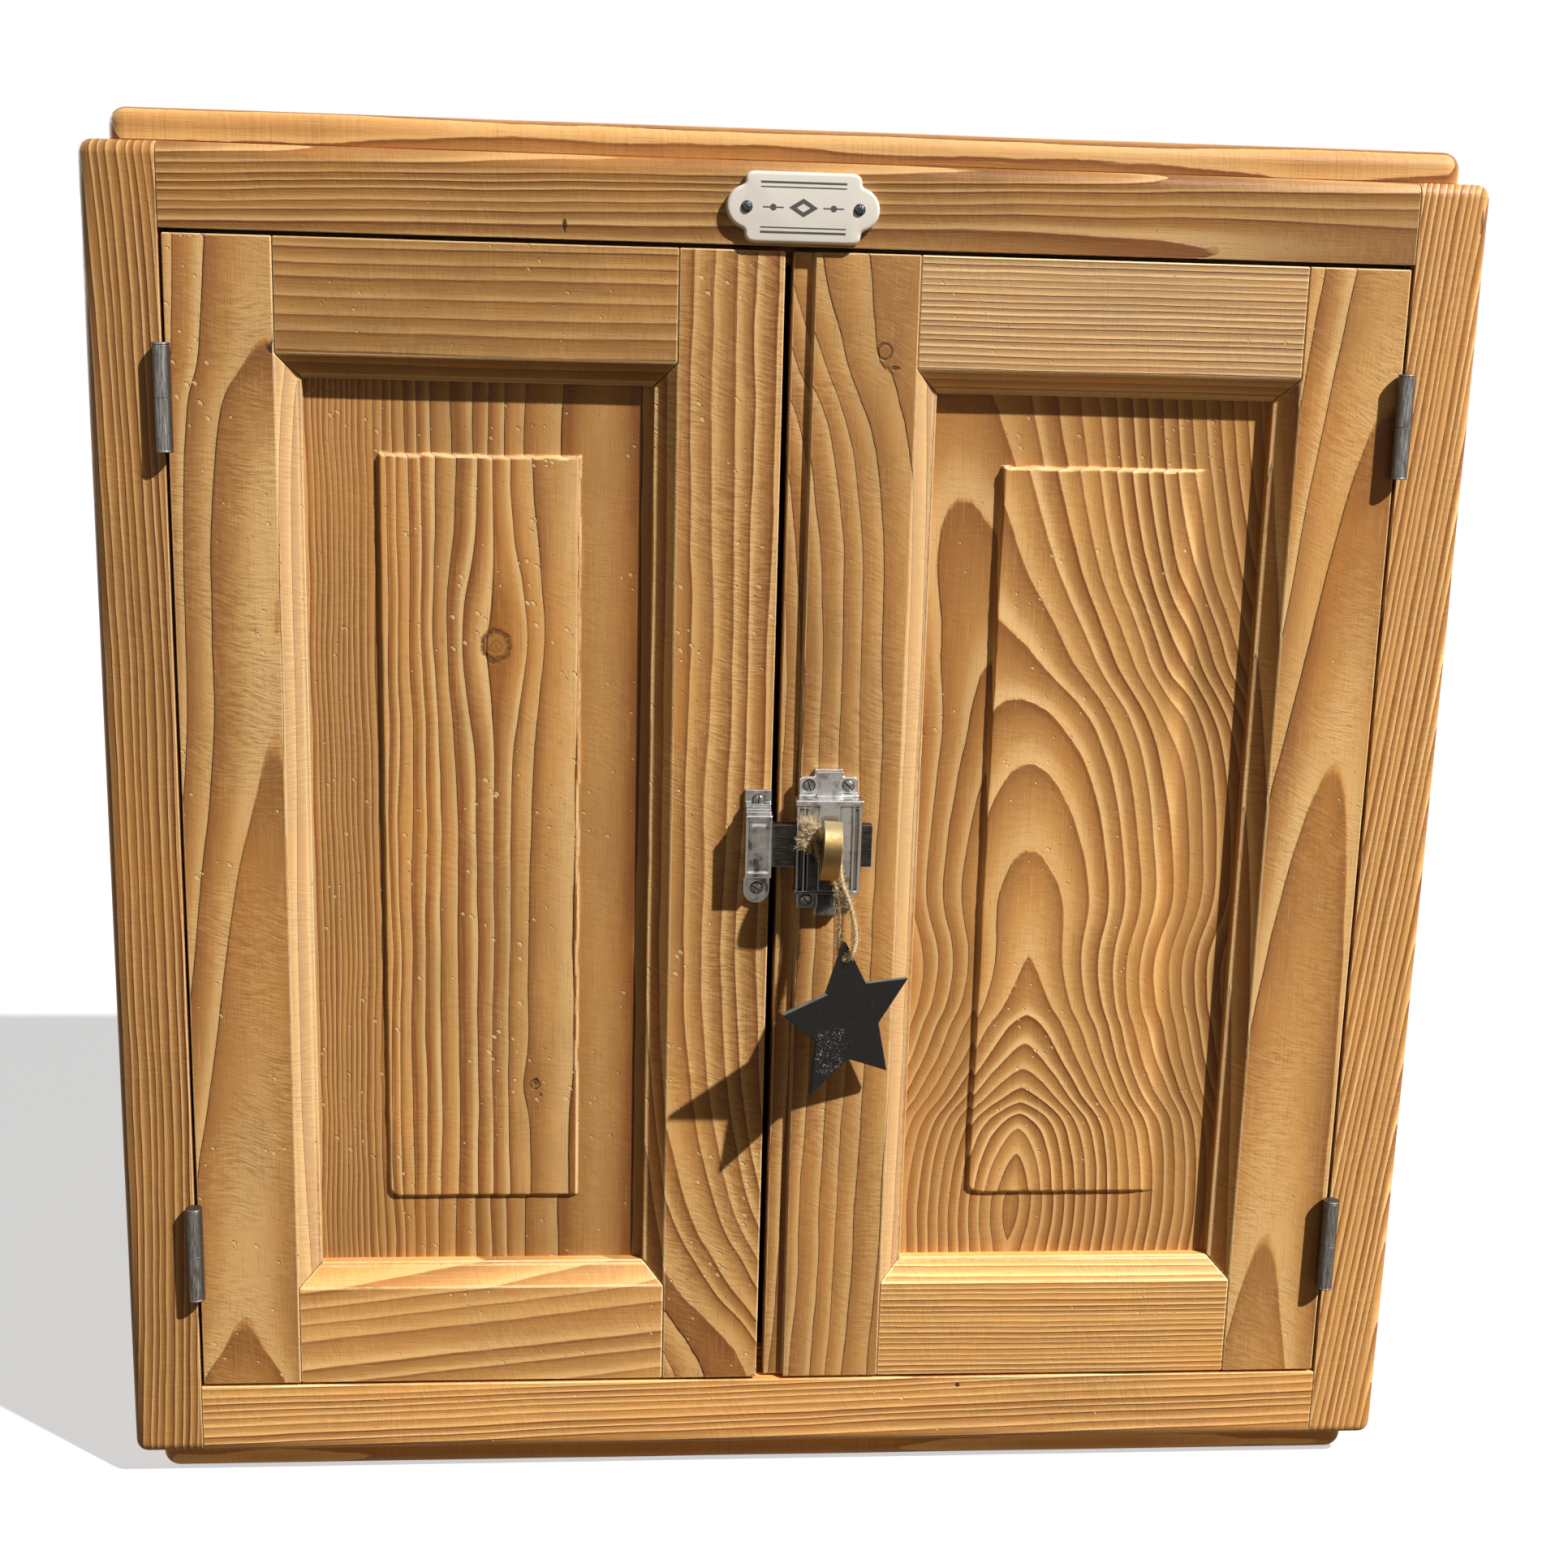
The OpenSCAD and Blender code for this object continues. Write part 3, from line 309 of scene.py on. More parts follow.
def pine(name, axes="ZXY", face=0.0, pith=0.0, deep=60.0, spacing=4.0, years=None, wander=6.0, ripple=2.0,
         jitter=0.35, knots=(), seed=0, aged=0.3, dents=0.5, warmth=0.0, strokes=0.4, bold=1.0, tone=1.0,
         ragged=0.35, power=None, sharp=1.25, sunk=0.0, moulding_highlight=0.0, bleach=0.0, marks=()):
    """Waxed pine: rings round a pith that runs along the board, knots, fibres, strokes and dents.

    pith and deep are the pith's place across the board and behind its face, as a number or as points
    along the board. years gives the ring count at some distances from the pith. power, as points along
    the board, makes arches pointed below 2. sharp narrows the dark part of each ring, sunk darkens
    what lies below the field, slope paints a highlight on the moulding's sloped faces, which face the
    light, and bleach pales the whole board. A knot is its place along and across with its radius, and a
    mark its place, its size, its colour and a share.
    """
    wood = chosen("wood")
    fin = Finish(name)
    place = fin.place()
    along, across, depth = (place[axis] for axis in axes)
    if face:
        depth = depth - face
    broad = fin.noise(fin.vector(across / 90, along / 420, depth / 90 + seed * 7.31))
    small = fin.noise(fin.vector(across / 34, along / 95, depth / 60 + seed * 3.17 + 40))
    shifted = across + broad * (2 * wander) + small * (2 * ripple)
    rim = disc = core = None
    for knot_along, knot_across, knot_r in knots:
        side = shifted - knot_across
        rise = along - knot_along
        reach = side * side + rise * rise * 0.22
        shifted = shifted - side * (reach * (-1 / (2.6 * knot_r) ** 2)).math("EXPONENT") * 0.92
        off = across - knot_across
        rough = fin.noise(fin.vector(across, along, depth), 0.25)
        far = (off * off + rise * rise * 0.85).math("SQRT") / knot_r + rough * 0.35
        this_rim = far.rise(0.62, 0.95) * (1 - far.rise(0.98, 1.2))
        this_disc = 1 - far.rise(0.9, 1.05)
        this_core = (far * 2.3 + rough).math("FRACT").rise(0.45, 0.9) * this_disc
        core = this_core if core is None else core.math("MAXIMUM", this_core)
        rim = this_rim if rim is None else rim.math("MAXIMUM", this_rim)
        disc = this_disc if disc is None else disc.math("MAXIMUM", this_disc)
    pith_at = along.along_curve(pith) if isinstance(pith, list) else pith
    deep_at = along.along_curve(deep) if isinstance(deep, list) else deep
    side = shifted - pith_at
    inward = depth - deep_at
    torn = fin.noise(fin.vector(across / 5, along / 34, seed * 1.7), 1.0, 4.0, 0.68)
    if isinstance(power, list):
        power = along.along_curve(power)
        near = side.math("ABSOLUTE") ** power + inward.math("ABSOLUTE") ** power
        far = near ** (power ** -1)
    else:
        far = (side * side + inward * inward).math("SQRT")
    far = far + torn * (2.6 * ragged)
    year = far.along_curve(years) if years else far / spacing
    if jitter:
        slow = fin.node("ShaderNodeTexNoise", {"noise_dimensions": "1D"},
                        {"W": year * 0.45 + seed * 2.7, "Scale": 1.0, "Detail": 1.0})
        year = year + slow * (2 * jitter)
    ring = year.math("FLOOR")
    t = year - ring
    force = fin.chance(ring + seed * 13.0) * 0.5 + 0.5
    own_tone = fin.chance(ring * 1.7 + seed * 5.0 + 0.3)
    fall = 1 - t.rise(0.965, 1.0)
    late = t.rise(0.0, 0.98) ** sharp * fall * (force * 0.6 + 0.4)
    edge = t.rise(0.8, 0.97) * fall * force
    fibre = fin.noise(fin.vector(across * 1.4, along * 0.035, depth * 1.4 + seed), 1.0, 3.0, 0.6)
    fleck = fin.noise(fin.vector(across * 3.2, along * 0.22, depth * 3.2 + seed), 1.0, 2.0, 0.6)
    blotch = fin.noise(fin.vector(across / 45, along / 130, depth / 45 + seed * 5.9), 1.0, 3.0, 0.55)
    tint = fin.mix(late * (0.9 * bold) + (own_tone - 0.45) * (0.3 * bold) + warmth, wood.pale, wood.warm)
    # Cream-gold just past each ring edge: partly the early wood's colour, partly a painted highlight on the
    # ring's relief
    tint = fin.mix((1 - t.rise(0.02, 0.42)) * (own_tone * 0.6 + 0.35) * bold, tint, wood.fresh)
    tint = fin.mix(edge * (0.4 * bold), tint, wood.dark)
    tint = fin.mix((blotch + 0.12).rise(0.0, 0.4) * aged, tint, wood.aged)
    tint = fin.mix((0.02 - blotch).rise(0.0, 0.3) * 0.45, tint, linear("CF8C42"))
    tint = fin.mix((fibre * 0.9 + fleck * 0.5).rise(0.02, 0.42) * 0.55, tint, wood.dark)
    tint = fin.mix((0.0 - fibre).rise(0.05, 0.35) * 0.45, tint, linear("E6BB77"))
    facing = fin.node("ShaderNodeTexCoord", out="Normal")
    flat = fin.node("ShaderNodeSeparateXYZ", None, (facing,), axes[2]).math("ABSOLUTE")
    height = late * wood.ridge + edge * (0.55 * wood.ridge) + fibre * 0.13 + fleck * 0.08
    if strokes:
        sway = fin.noise(fin.vector(across / 110, along / 150, seed + 6.0)) * 60
        slant = across * 0.22 + along + sway
        cut = fin.noise(fin.vector(across * 0.14, slant * 0.8, seed + 3.3), 1.0, 3.0, 0.7)
        worked = fin.noise(fin.vector(across / 40, along / 55, seed + 4.0)).rise(-0.25, 0.15) * strokes
        worked = worked * (1 - late * 0.6)
        height = height + cut * worked * 0.4
        tint = fin.mix(cut.rise(-0.1, 0.25) * worked * 0.5, tint, linear("E8BE7E"))
        tint = fin.mix((0.0 - cut).rise(-0.05, 0.28) * worked * 0.5, tint, wood.dark)
    if dents:
        chips = fin.noise(fin.vector(across / 7, along / 7, seed), 1.0, 2.0, 0.5)
        warp = fin.noise(fin.vector(across, along, seed + 2.0), 0.9, 2.0) * 0.06
        over, down = across * 0.75 - along * 0.66, across * 0.66 + along * 0.75
        grid = fin.vector(over / 13 + seed, down / 6.5, 0.0)
        zone = fin.noise(fin.vector(across / 40, along / 50, seed + 9.0), 1.0, 3.0, 0.6)
        size = (chips * 0.8 + zone * 0.9) * dents
        dent = (size.math("MINIMUM", 0.15) - fin.spots(grid) - warp).rise(0.0, 0.04)
        dent = dent * flat.rise(0.8, 0.95)
        height = height - dent * wood.dent
        tint = fin.mix(dent * 0.6, tint, linear("EFCF96"))
    if disc is not None:
        own = fin.noise(fin.vector(across, along, seed), 0.6, 2.0)
        tint = fin.mix(disc * 0.85, tint, linear("A9743C"))
        tint = fin.mix(core * 0.5, tint, linear("6E4420"))
        tint = fin.mix(rim * (own * 1.4 + 0.6), tint, linear("4A2812"))
        height = height - rim * 0.25
    # Painted highlight: paler on the faces that turn from the front, the sloped moulding that faces the light
    if moulding_highlight:
        tint = fin.mix((1 - flat.rise(0.75, 0.95)) * moulding_highlight, tint, linear("F5D3A0"))
    if sunk:
        tint = fin.mix(depth.rise(-1.7, -0.5) * sunk, tint, linear("7C5126"))
    for mark_along, mark_across, size, code, share in marks:
        rise = (along - mark_along) / size[0]
        side = (across - mark_across) / size[1]
        frayed = fin.noise(fin.vector(across, along, mark_along), 0.5, 2.0)
        near = 1 - ((rise * rise + side * side).math("SQRT") + frayed * 0.8).rise(0.6, 1.0)
        tint = fin.mix(near * share, tint, linear(code))
        height = height - near * 0.3
    # Marked faces go pale: worn arrises on the boards, and on the panels a painted highlight on the field's
    # edges that face the light
    worn = fin.node("ShaderNodeAttribute", {"attribute_name": "worn"}, out="Fac")
    tint = fin.mix(worn * (blotch + fleck + 0.45).rise(0.1, 0.6) * 0.7, tint, linear("F0CE98"))
    if tone != 1:
        tint = fin.mix(1.0, tint, (tone, tone ** 1.06, tone ** 1.12), "MULTIPLY")
    if bleach:
        tint = fin.mix(bleach, tint, linear("E3CBA6"))
    rough = 0.5 - late * 0.1 + fibre * 0.15 + blotch * 0.12
    return fin.surface(Base_Color=tint, Roughness=rough, Specular_IOR_Level=0.3, Normal=fin.bump(height))


FIELD_BACK = FRONT + PANEL_BACK
BOARDS = {
    "left_hinge_stile": dict(
        face=FRONT, pith=[(0, -284), (103, -281), (250, -268), (411, -257), (520, -256), (720, -258)],
        deep=[(0, 107), (57, 109.9), (93, 112), (190, 112.7), (250, 113.5), (330, 114.6), (411, 116),
              (520, 116.3), (570, 117.6), (607, 120), (720, 122)],
        jitter=0, wander=3, ripple=1.6, tone=0.86, seed=1, strokes=1.0, dents=0.8, aged=0.35,
        ragged=0.06, moulding_highlight=0.36, marks=[(603.5, -252, (4, 5.5), "3A2414", 0.95)]),
    "left_meeting_stile": dict(
        face=FRONT, pith=[(0, -8), (60, -25), (120, -62), (180, -86), (250, -97), (420, -96), (700, -92)],
        deep=[(0, 26), (150, 30), (300, 34), (700, 40)], spacing=8.6, wander=5, ripple=3, jitter=0.5,
        tone=0.92, seed=2, strokes=1.0, dents=0.9, aged=0.2, bold=1.15, warmth=0.04),
    "left_top_rail": dict(
        axes="XZY", face=FRONT, pith=568, deep=24, spacing=7.6, wander=4, ripple=1.2, tone=0.79, seed=3,
        aged=0.75, dents=0.6, bold=0.75, warmth=-0.04),
    "left_bottom_rail": dict(
        axes="XZY", face=FRONT, pith=[(-260, 2), (-60, 26)], deep=30, spacing=10.5, wander=5, ripple=1.2,
        tone=1.12, seed=4, aged=0.25, bold=0.7),
    "left_panel": dict(
        face=FIELD_BACK, pith=-95, deep=50,
        years=[(0, -8), (51, 0), (78, 4), (121, 11), (153, 22), (200, 38)],
        wander=7, ripple=3.2, jitter=0.3, tone=0.9, seed=5, dents=1.0, aged=0.45, ragged=0.15, sharp=2.0,
        bold=1.5, sunk=0.3, knots=[(458.6, -148.4, 7.4), (223.4, -128.4, 2.6)],
        marks=[(225.0, -128.0, (2.6, 1.6), "4A2A14", 0.75), (217.5, -125.5, (1.6, 1.0), "4A2A14", 0.6)]),
    "right_hinge_stile": dict(
        face=FRONT, pith=[(0, 268), (120, 272), (330, 282), (520, 296), (720, 304)],
        deep=[(0, 104), (80, 108), (330, 112), (560, 117), (720, 121)], spacing=4.2, jitter=0, wander=4,
        ripple=1.8, seed=6, strokes=0.8, dents=0.4, ragged=0.06),
    "right_meeting_stile": dict(
        face=FRONT, pith=[(0, 84), (200, 92), (440, 90), (540, 82), (610, 60), (656, 48), (720, 40)],
        deep=[(0, 40), (350, 46), (700, 52)], spacing=8.2, wander=8, ripple=3, tone=0.83, seed=7,
        moulding_highlight=0.4, strokes=0.8, dents=0.4, aged=0.4, bold=0.95, knots=[(609.4, 42.4, 3.7)],
        marks=[(601.5, 48.0, (1.4, 2.6), "4A2D18", 0.8)]),
    "right_top_rail": dict(
        axes="XZY", face=FRONT, pith=512, deep=14, spacing=3.3, wander=2, ripple=0.8, tone=1.2, seed=8,
        bold=1.35, warmth=-0.2, bleach=0.27),
    "right_bottom_rail": dict(
        axes="XZY", face=FRONT, pith=-30, deep=14, spacing=3.2, wander=2, ripple=0.8, tone=1.42, seed=9,
        aged=0.2, dents=0.4, bold=0.8, warmth=-0.08),
    "right_panel": dict(
        face=FIELD_BACK, pith=[(100, 131), (380, 130), (460, 108), (539, 86), (600, 80)],
        deep=[(100, 12), (130, 6), (149, 3), (160, 4), (190, 12), (202, 18), (209, 24), (216, 30),
              (226, 36), (238, 42), (255, 48), (273, 54), (329, 60), (383, 66), (423, 72), (457, 78),
              (539, 84), (600, 89)],
        spacing=6.0, jitter=0, wander=3, ripple=2.2, tone=1.08, seed=10, dents=0.6, aged=0.2, bold=1.05,
        ragged=0.2, sunk=0.3, power=[(100, 1.4), (280, 1.45), (345, 1.9), (600, 2)]),
    "frame_stile_left": dict(
        face=FRONT, pith=[(0, -436), (350, -428), (720, -440)], deep=26, spacing=3.9, wander=4, ripple=1.4,
        tone=0.86, seed=11, aged=0.25, dents=0.2, bold=0.95, warmth=0.16),
    "frame_stile_right": dict(
        face=FRONT, pith=[(0, 398), (350, 436), (720, 474)], deep=-60, spacing=3.3, wander=3, ripple=1.2,
        tone=1.1, seed=12, aged=0.15, dents=0.2, bold=1.15, warmth=0.06,
        marks=[(679, 338, (7, 0.9), "4A2D18", 0.8)]),
    "frame_rail_top": dict(
        axes="XZY", face=FRONT, pith=[(-320, 640), (0, 652), (320, 668)],
        deep=[(-320, 30), (0, 34), (320, 40)], spacing=3.2, wander=5, ripple=1.6, tone=0.8, seed=13,
        aged=0.5, dents=0.3, bold=0.95, warmth=0.05, ragged=0.12,
        marks=[(-114.4, 664.6, (1.3, 3.4), "2F1D10", 0.95)]),
    "frame_rail_bottom": dict(
        axes="XZY", face=FRONT, pith=[(-320, -4), (320, 10)], deep=[(-320, 26), (320, 20)], spacing=3.8,
        wander=4, ripple=1.4, tone=1.42, seed=14, bold=0.75, warmth=0.1, ragged=0.15,
        marks=[(104, 51, (1.6, 1.6), "2F1D10", 0.9)]),
    "top_board": dict(
        axes="XYZ", face=698, pith=-60, deep=-20, spacing=4.4, ripple=1.2, seed=15, aged=0.1),
    # The base board's colour is lifted with tone as painted light, for its front edge lies in the frame's
    # shade
    "base_board": dict(
        axes="XYZ", pith=-40, deep=40, spacing=4.8, seed=16, aged=0.1, tone=1.8, bold=0.6),
    "left_side_panel": dict(axes="ZYX", face=-320, pith=[(0, 20), (720, -20)], deep=60, spacing=5, seed=17),
    "right_side_panel": dict(axes="ZYX", face=320, pith=[(0, -30), (720, 30)], deep=-55, spacing=5, seed=18),
    "back_board_left": dict(face=150, pith=-230, deep=44, spacing=5, seed=19),
    "back_board_middle": dict(face=150, pith=20, deep=60, spacing=5.5, seed=20, knots=[(480, 40, 9)]),
    "back_board_right": dict(face=150, pith=240, deep=38, spacing=5, seed=21, knots=[(210, 190, 7)]),
    "shelf": dict(axes="XYZ", face=350, pith=10, deep=50, spacing=5, seed=22),
    "shelf_cleat_left": dict(axes="YZX", face=-300, pith=280, deep=20, seed=23),
    "shelf_cleat_right": dict(axes="YZX", face=300, pith=290, deep=20, seed=24),
    "door_stop_top": dict(axes="XZY", face=-138, pith=600, deep=20, seed=25),
    "door_stop_bottom": dict(axes="XZY", face=-138, deep=20, seed=26),
}


def board_finish(node):
    return pine("pine_" + node, **BOARDS[node])


# Metal, enamel, paint and fibre


def worn_edges(fin, radius):
    """Give 1 on edges that stand out, and 0 on flat faces."""
    soft = fin.node("ShaderNodeBevel", {"samples": 6}, {"Radius": radius * MM})
    true = fin.node("ShaderNodeNewGeometry", out="Normal")
    settings = {"operation": "DOT_PRODUCT"}
    return 1 - fin.node("ShaderNodeVectorMath", settings, (soft, true), "Value")


def cast_zinc(name, dull=0.0, turn_shadow=0.0, low_by=16, reach=26):
    """Plated casting: mottled grey, dark in its recesses and bright where it is rubbed.

    tarnish darkens the lower left, low_by below the turn's neck, as a painted shadow of the turn and its
    knot.
    """
    metal = chosen("metal")
    fin = Finish(name)
    place = fin.place()
    point = fin.vector(place["X"], place["Y"], place["Z"])
    turn = fin.node("ShaderNodeNewGeometry", out="Pointiness")
    mottle = fin.noise(point, 0.16, 4.0, 0.55)
    pits = fin.noise(point, 1.6, 3.0, 0.6)
    rubbed = (turn + mottle * 0.02).rise(0.504, 0.54)
    sunk = 1 - (turn + mottle * 0.02).rise(0.445, 0.49)
    tint = fin.mix(mottle.rise(-0.05, 0.2) * 0.7 + dull, metal.zinc, metal.zinc_dark)
    tint = fin.mix((0.0 - mottle).rise(0.04, 0.2) * 0.7, tint, metal.bright)
    rough = 0.27 + mottle * 0.25 - rubbed * 0.08 + sunk * 0.2
    # Painted shadow of the turn and knot on the lower left of the casting
    if turn_shadow:
        side = (place["X"] - NECK.x + 7) / 17
        up = (place["Z"] - NECK.z + low_by) / reach
        dark = 1 - ((side * side + up * up).math("SQRT") + mottle * 0.5).rise(0.7, 1.2)
        tint = fin.mix(dark * turn_shadow, tint, linear("0E0A05"))
        rough = rough + dark * 0.2
        rubbed = rubbed * (1 - dark * 0.6)
    tint = fin.mix(rubbed * 0.85, tint, metal.bright)
    tint = fin.mix(sunk * 0.9, tint, linear("14110E"))
    return fin.surface(
        Base_Color=tint, Metallic=1.0, Roughness=rough, Normal=fin.bump(mottle * 0.25 + pits * 0.05))


def dark_bar(name):
    """Dark plated bar, worn bright along its edges."""
    metal = chosen("metal")
    fin = Finish(name)
    place = fin.place()
    mottle = fin.noise(fin.vector(place["X"], place["Y"], place["Z"]), 0.35, 4.0, 0.6)
    drawn = fin.noise(fin.vector(place["X"] * 0.1, place["Y"], place["Z"] * 2.2), 1.0, 3.0, 0.6)
    edge = worn_edges(fin, 0.6).rise(0.03, 0.3)
    tint = fin.mix(mottle.rise(-0.2, 0.3), linear("3E3A34"), linear("1F1C18"))
    tint = fin.mix(drawn.rise(0.0, 0.4) * 0.3, tint, metal.zinc)
    tint = fin.mix(edge * 0.8, tint, metal.bright)
    return fin.surface(
        Base_Color=tint, Metallic=0.8, Roughness=0.38 + mottle * 0.2, Normal=fin.bump(drawn * 0.05))


def dull_steel(name, streak=0.8):
    """Dull steel, worn bright at its edges, and bright down the front of its barrels, partly as wear and
    partly as a painted highlight.
    """
    metal = chosen("metal")
    fin = Finish(name)
    place = fin.place()
    point = fin.vector(place["X"], place["Y"], place["Z"])
    mottle = fin.noise(point, 0.5, 4.0, 0.65)
    scuff = fin.noise(fin.vector(place["X"] * 1.5, place["Y"] * 1.5, place["Z"] * 0.12), 1.0, 3.0, 0.6)
    edge = worn_edges(fin, 0.5).rise(0.03, 0.3)
    # A bright strip down the barrels' front: partly wear, partly a painted highlight
    front = (FRONT - 6.9 - place["Y"]).rise(0.0, 1.6)
    rubbed = front * streak * (scuff + 0.5).rise(0.3, 0.75)
    tint = fin.mix(mottle.rise(-0.1, 0.3) * 0.6, metal.steel, linear("37332E"))
    tint = fin.mix(rubbed * 0.55, tint, metal.bright)
    tint = fin.mix(edge * 0.6, tint, metal.bright)
    return fin.surface(
        Base_Color=tint, Metallic=0.8, Roughness=0.45 + mottle * 0.3, Normal=fin.bump(mottle * 0.1))


def screw_steel(name, crown, pale="8F8B85", dark="4A443C"):
    """Screws' steel, with painted shade in their slots and low down. crown is the depth of the heads' tops.
    """
    metal = chosen("metal")
    fin = Finish(name)
    place = fin.place()
    point = fin.vector(place["X"], place["Y"], place["Z"])
    mottle = fin.noise(point, 0.8, 3.0, 0.6)
    edge = worn_edges(fin, 0.35).rise(0.02, 0.25)
    tint = fin.mix(mottle.rise(-0.2, 0.3), linear(pale), linear(dark))
    tint = fin.mix(edge * 0.7, tint, metal.bright)
    # Painted shade in the slots and round the heads' seats, below the crown
    slot_shade = (place["Y"] - crown).rise(0.6, 0.8)
    tint = fin.mix(slot_shade * 0.95, tint, linear("1A130C"))
    return fin.surface(
        Base_Color=tint, Metallic=0.85 - slot_shade * 0.6, Roughness=0.4 + mottle * 0.3 + slot_shade * 0.3,
        Normal=fin.bump(mottle * 0.05))


def worn_brass(name):
    """Lacquered brass: golden and cream where it is rubbed, with painted reflections that make it cream at
    the top, dark across the middle and browner low down.
    """
    metal = chosen("metal")
    fin = Finish(name)
    place = fin.place()
    point = fin.vector(place["X"], place["Y"], place["Z"])
    mottle = fin.noise(point, 0.3, 4.0, 0.6)
    brushed = fin.noise(fin.vector(place["X"] * 0.3, place["Y"] * 0.3, place["Z"] * 5), 1.0, 2.0)
    edge = worn_edges(fin, 0.6).rise(0.03, 0.3)
    up = place["Z"] - NECK.z
    # Painted reflection of the wood below: more orange and less metallic low down
    low_reflection = 1 - up.rise(-12, -2)
    tint = fin.mix(low_reflection * 0.8 + mottle * 0.4, metal.brass, linear("D8A25A"))
    # Painted reflection of dark surroundings across the middle
    shade = up.rise(-7, 0) * (1 - up.rise(3, 9))
    tint = fin.mix(shade * 0.85, tint, linear("5A4626"))
    # Painted reflection of the bright sky at the top
    tint = fin.mix((up + mottle * 5).rise(8, 12) * 0.7, tint, linear("CFC092"))
    tint = fin.mix(edge * 0.5, tint, linear("EADBB0"))
    rough = 0.4 + mottle * 0.2 + brushed * 0.1
    metallic = 0.75 - low_reflection * 0.2
    return fin.surface(Base_Color=tint, Metallic=metallic, Roughness=rough, Normal=fin.bump(brushed * 0.02))


def enamel_finish(name):
    """Cream enamel with plain rules and a lozenge, and a faint crazing."""
    plate = chosen("plate")
    fin = Finish(name)
    place = fin.place()
    middle_z = (low("name_plate").z + high("name_plate").z) / 2
    x = place["X"].math("ABSOLUTE")
    z = (place["Z"] - middle_z).math("ABSOLUTE")
    within = 1 - x.rise(20.6, 20.9)
    inner_rule = (1 - (z - 9.4).math("ABSOLUTE").rise(0.28, 0.42)) * within
    outer_rule = (1 - (z - 11.6).math("ABSOLUTE").rise(0.5, 0.64)) * within
    middle_rule = (1 - z.rise(0.3, 0.45)) * (1 - x.rise(19.5, 19.8)) * x.rise(9.4, 9.7)
    lozenge = 1 - (x * 0.62 + z).rise(4.3, 4.5)
    eye = 1 - (x * 0.62 + z).rise(1.9, 2.1)
    studs = 1 - (((x - 14.6) * (x - 14.6) + z * z).math("SQRT")).rise(1.5, 1.7)
    ink = (lozenge - eye).math("MAXIMUM", inner_rule).math("MAXIMUM", outer_rule)
    ink = ink.math("MAXIMUM", middle_rule).math("MAXIMUM", studs)
    mottle = fin.noise(fin.vector(place["X"], place["Y"], place["Z"]), 0.12, 3.0)
    tint = fin.mix(mottle.rise(0.0, 0.4) * 0.3, plate.enamel, linear("DCD3C0"))
    tint = fin.mix(ink * 0.94, tint, plate.ink)
    return fin.surface(
        Base_Color=tint, Roughness=0.24, Coat_Weight=0.4, Coat_Roughness=0.08, Normal=fin.bump(mottle * 0.15))


def star_paint(name):
    """Matt near-black paint with chalky scuffs, thicker on the lower leg, and grey edges."""
    tag = chosen("tag")
    fin = Finish(name)
    place = fin.place()
    point = fin.vector(place["X"], place["Y"], place["Z"])
    mottle = fin.noise(point, 0.2, 4.0, 0.6)
    speck = fin.noise(point, 0.95, 4.0, 0.8)
    streak = fin.noise(fin.vector(place["X"] * 0.25, place["Y"] * 0.25, place["Z"] * 2.0), 1.0, 3.0, 0.6)
    edge = worn_edges(fin, 0.5).rise(0.04, 0.3)
    leg_x = (place["X"] - NECK.x - 2.0) / 11
    leg_z = (place["Z"] - NECK.z + 103) / 13
    leg = 1 - (leg_x * leg_x + leg_z * leg_z).math("SQRT").rise(0.5, 1.2)
    scuffs = (speck + mottle * 0.3).rise(0.09, 0.16) * (leg * 0.85 + 0.02)
    tint = fin.mix(scuffs, tag.star, tag.chalk)
    tint = fin.mix(streak.rise(0.0, 0.4) * 0.3, tint, linear("23231F"))
    facing = fin.node("ShaderNodeTexCoord", out="Normal")
    flat = fin.node("ShaderNodeSeparateXYZ", None, (facing,), "Y").math("ABSOLUTE")
    tint = fin.mix(edge * 0.4, tint, tag.chalk)
    tint = fin.mix((1 - flat.rise(0.2, 0.8)) * (mottle + 0.7), tint, linear("6F7062"))
    return fin.surface(
        Base_Color=tint, Roughness=0.68 + mottle * 0.2, Specular_IOR_Level=0.22,
        Normal=fin.bump(mottle * 0.12 + streak * 0.08 + speck * 0.05))


def twine_fibre(name, pale=0.4):
    """Jute: pale straw with darker fibres, lighter for a larger pale."""
    tag = chosen("tag")
    fin = Finish(name)
    place = fin.place()
    point = fin.vector(place["X"], place["Y"], place["Z"])
    fine = fin.noise(point, 3.5, 3.0, 0.7)
    broad = fin.noise(point, 0.25, 2.0)
    tint = fin.mix(fine.rise(-0.1, 0.3) * 0.6, tag.twine, linear("8C6B3E"))
    tint = fin.mix(broad.rise(0.0, 0.3) * 0.4 + (pale - 0.4), tint, linear("EAD9B4"))
    return fin.surface(Base_Color=tint, Roughness=0.85, Sheen_Weight=0.25, Normal=fin.bump(fine * 0.2))


# Making pieces


def new_piece(name, mesh, finish):
    """Put a mesh in the scene under a name, with its finish."""
    piece = bpy.data.objects.new(name, mesh)
    bpy.context.scene.collection.objects.link(piece)
    mesh.materials.clear()
    mesh.materials.append(finish)
    return piece


def from_lists(name, points, faces, finish):
    """Make a piece from points in millimetres, with its normals turned outwards."""
    mesh = bpy.data.meshes.new(name)
    bm = bmesh.new()
    spots = [bm.verts.new(Vector(p) * MM) for p in points]
    for face in faces:
        bm.faces.new([spots[i] for i in face])
    bmesh.ops.remove_doubles(bm, verts=bm.verts, dist=1e-7)
    bmesh.ops.recalc_face_normals(bm, faces=bm.faces)
    bm.to_mesh(mesh)
    bm.free()
    return new_piece(name, mesh, finish)


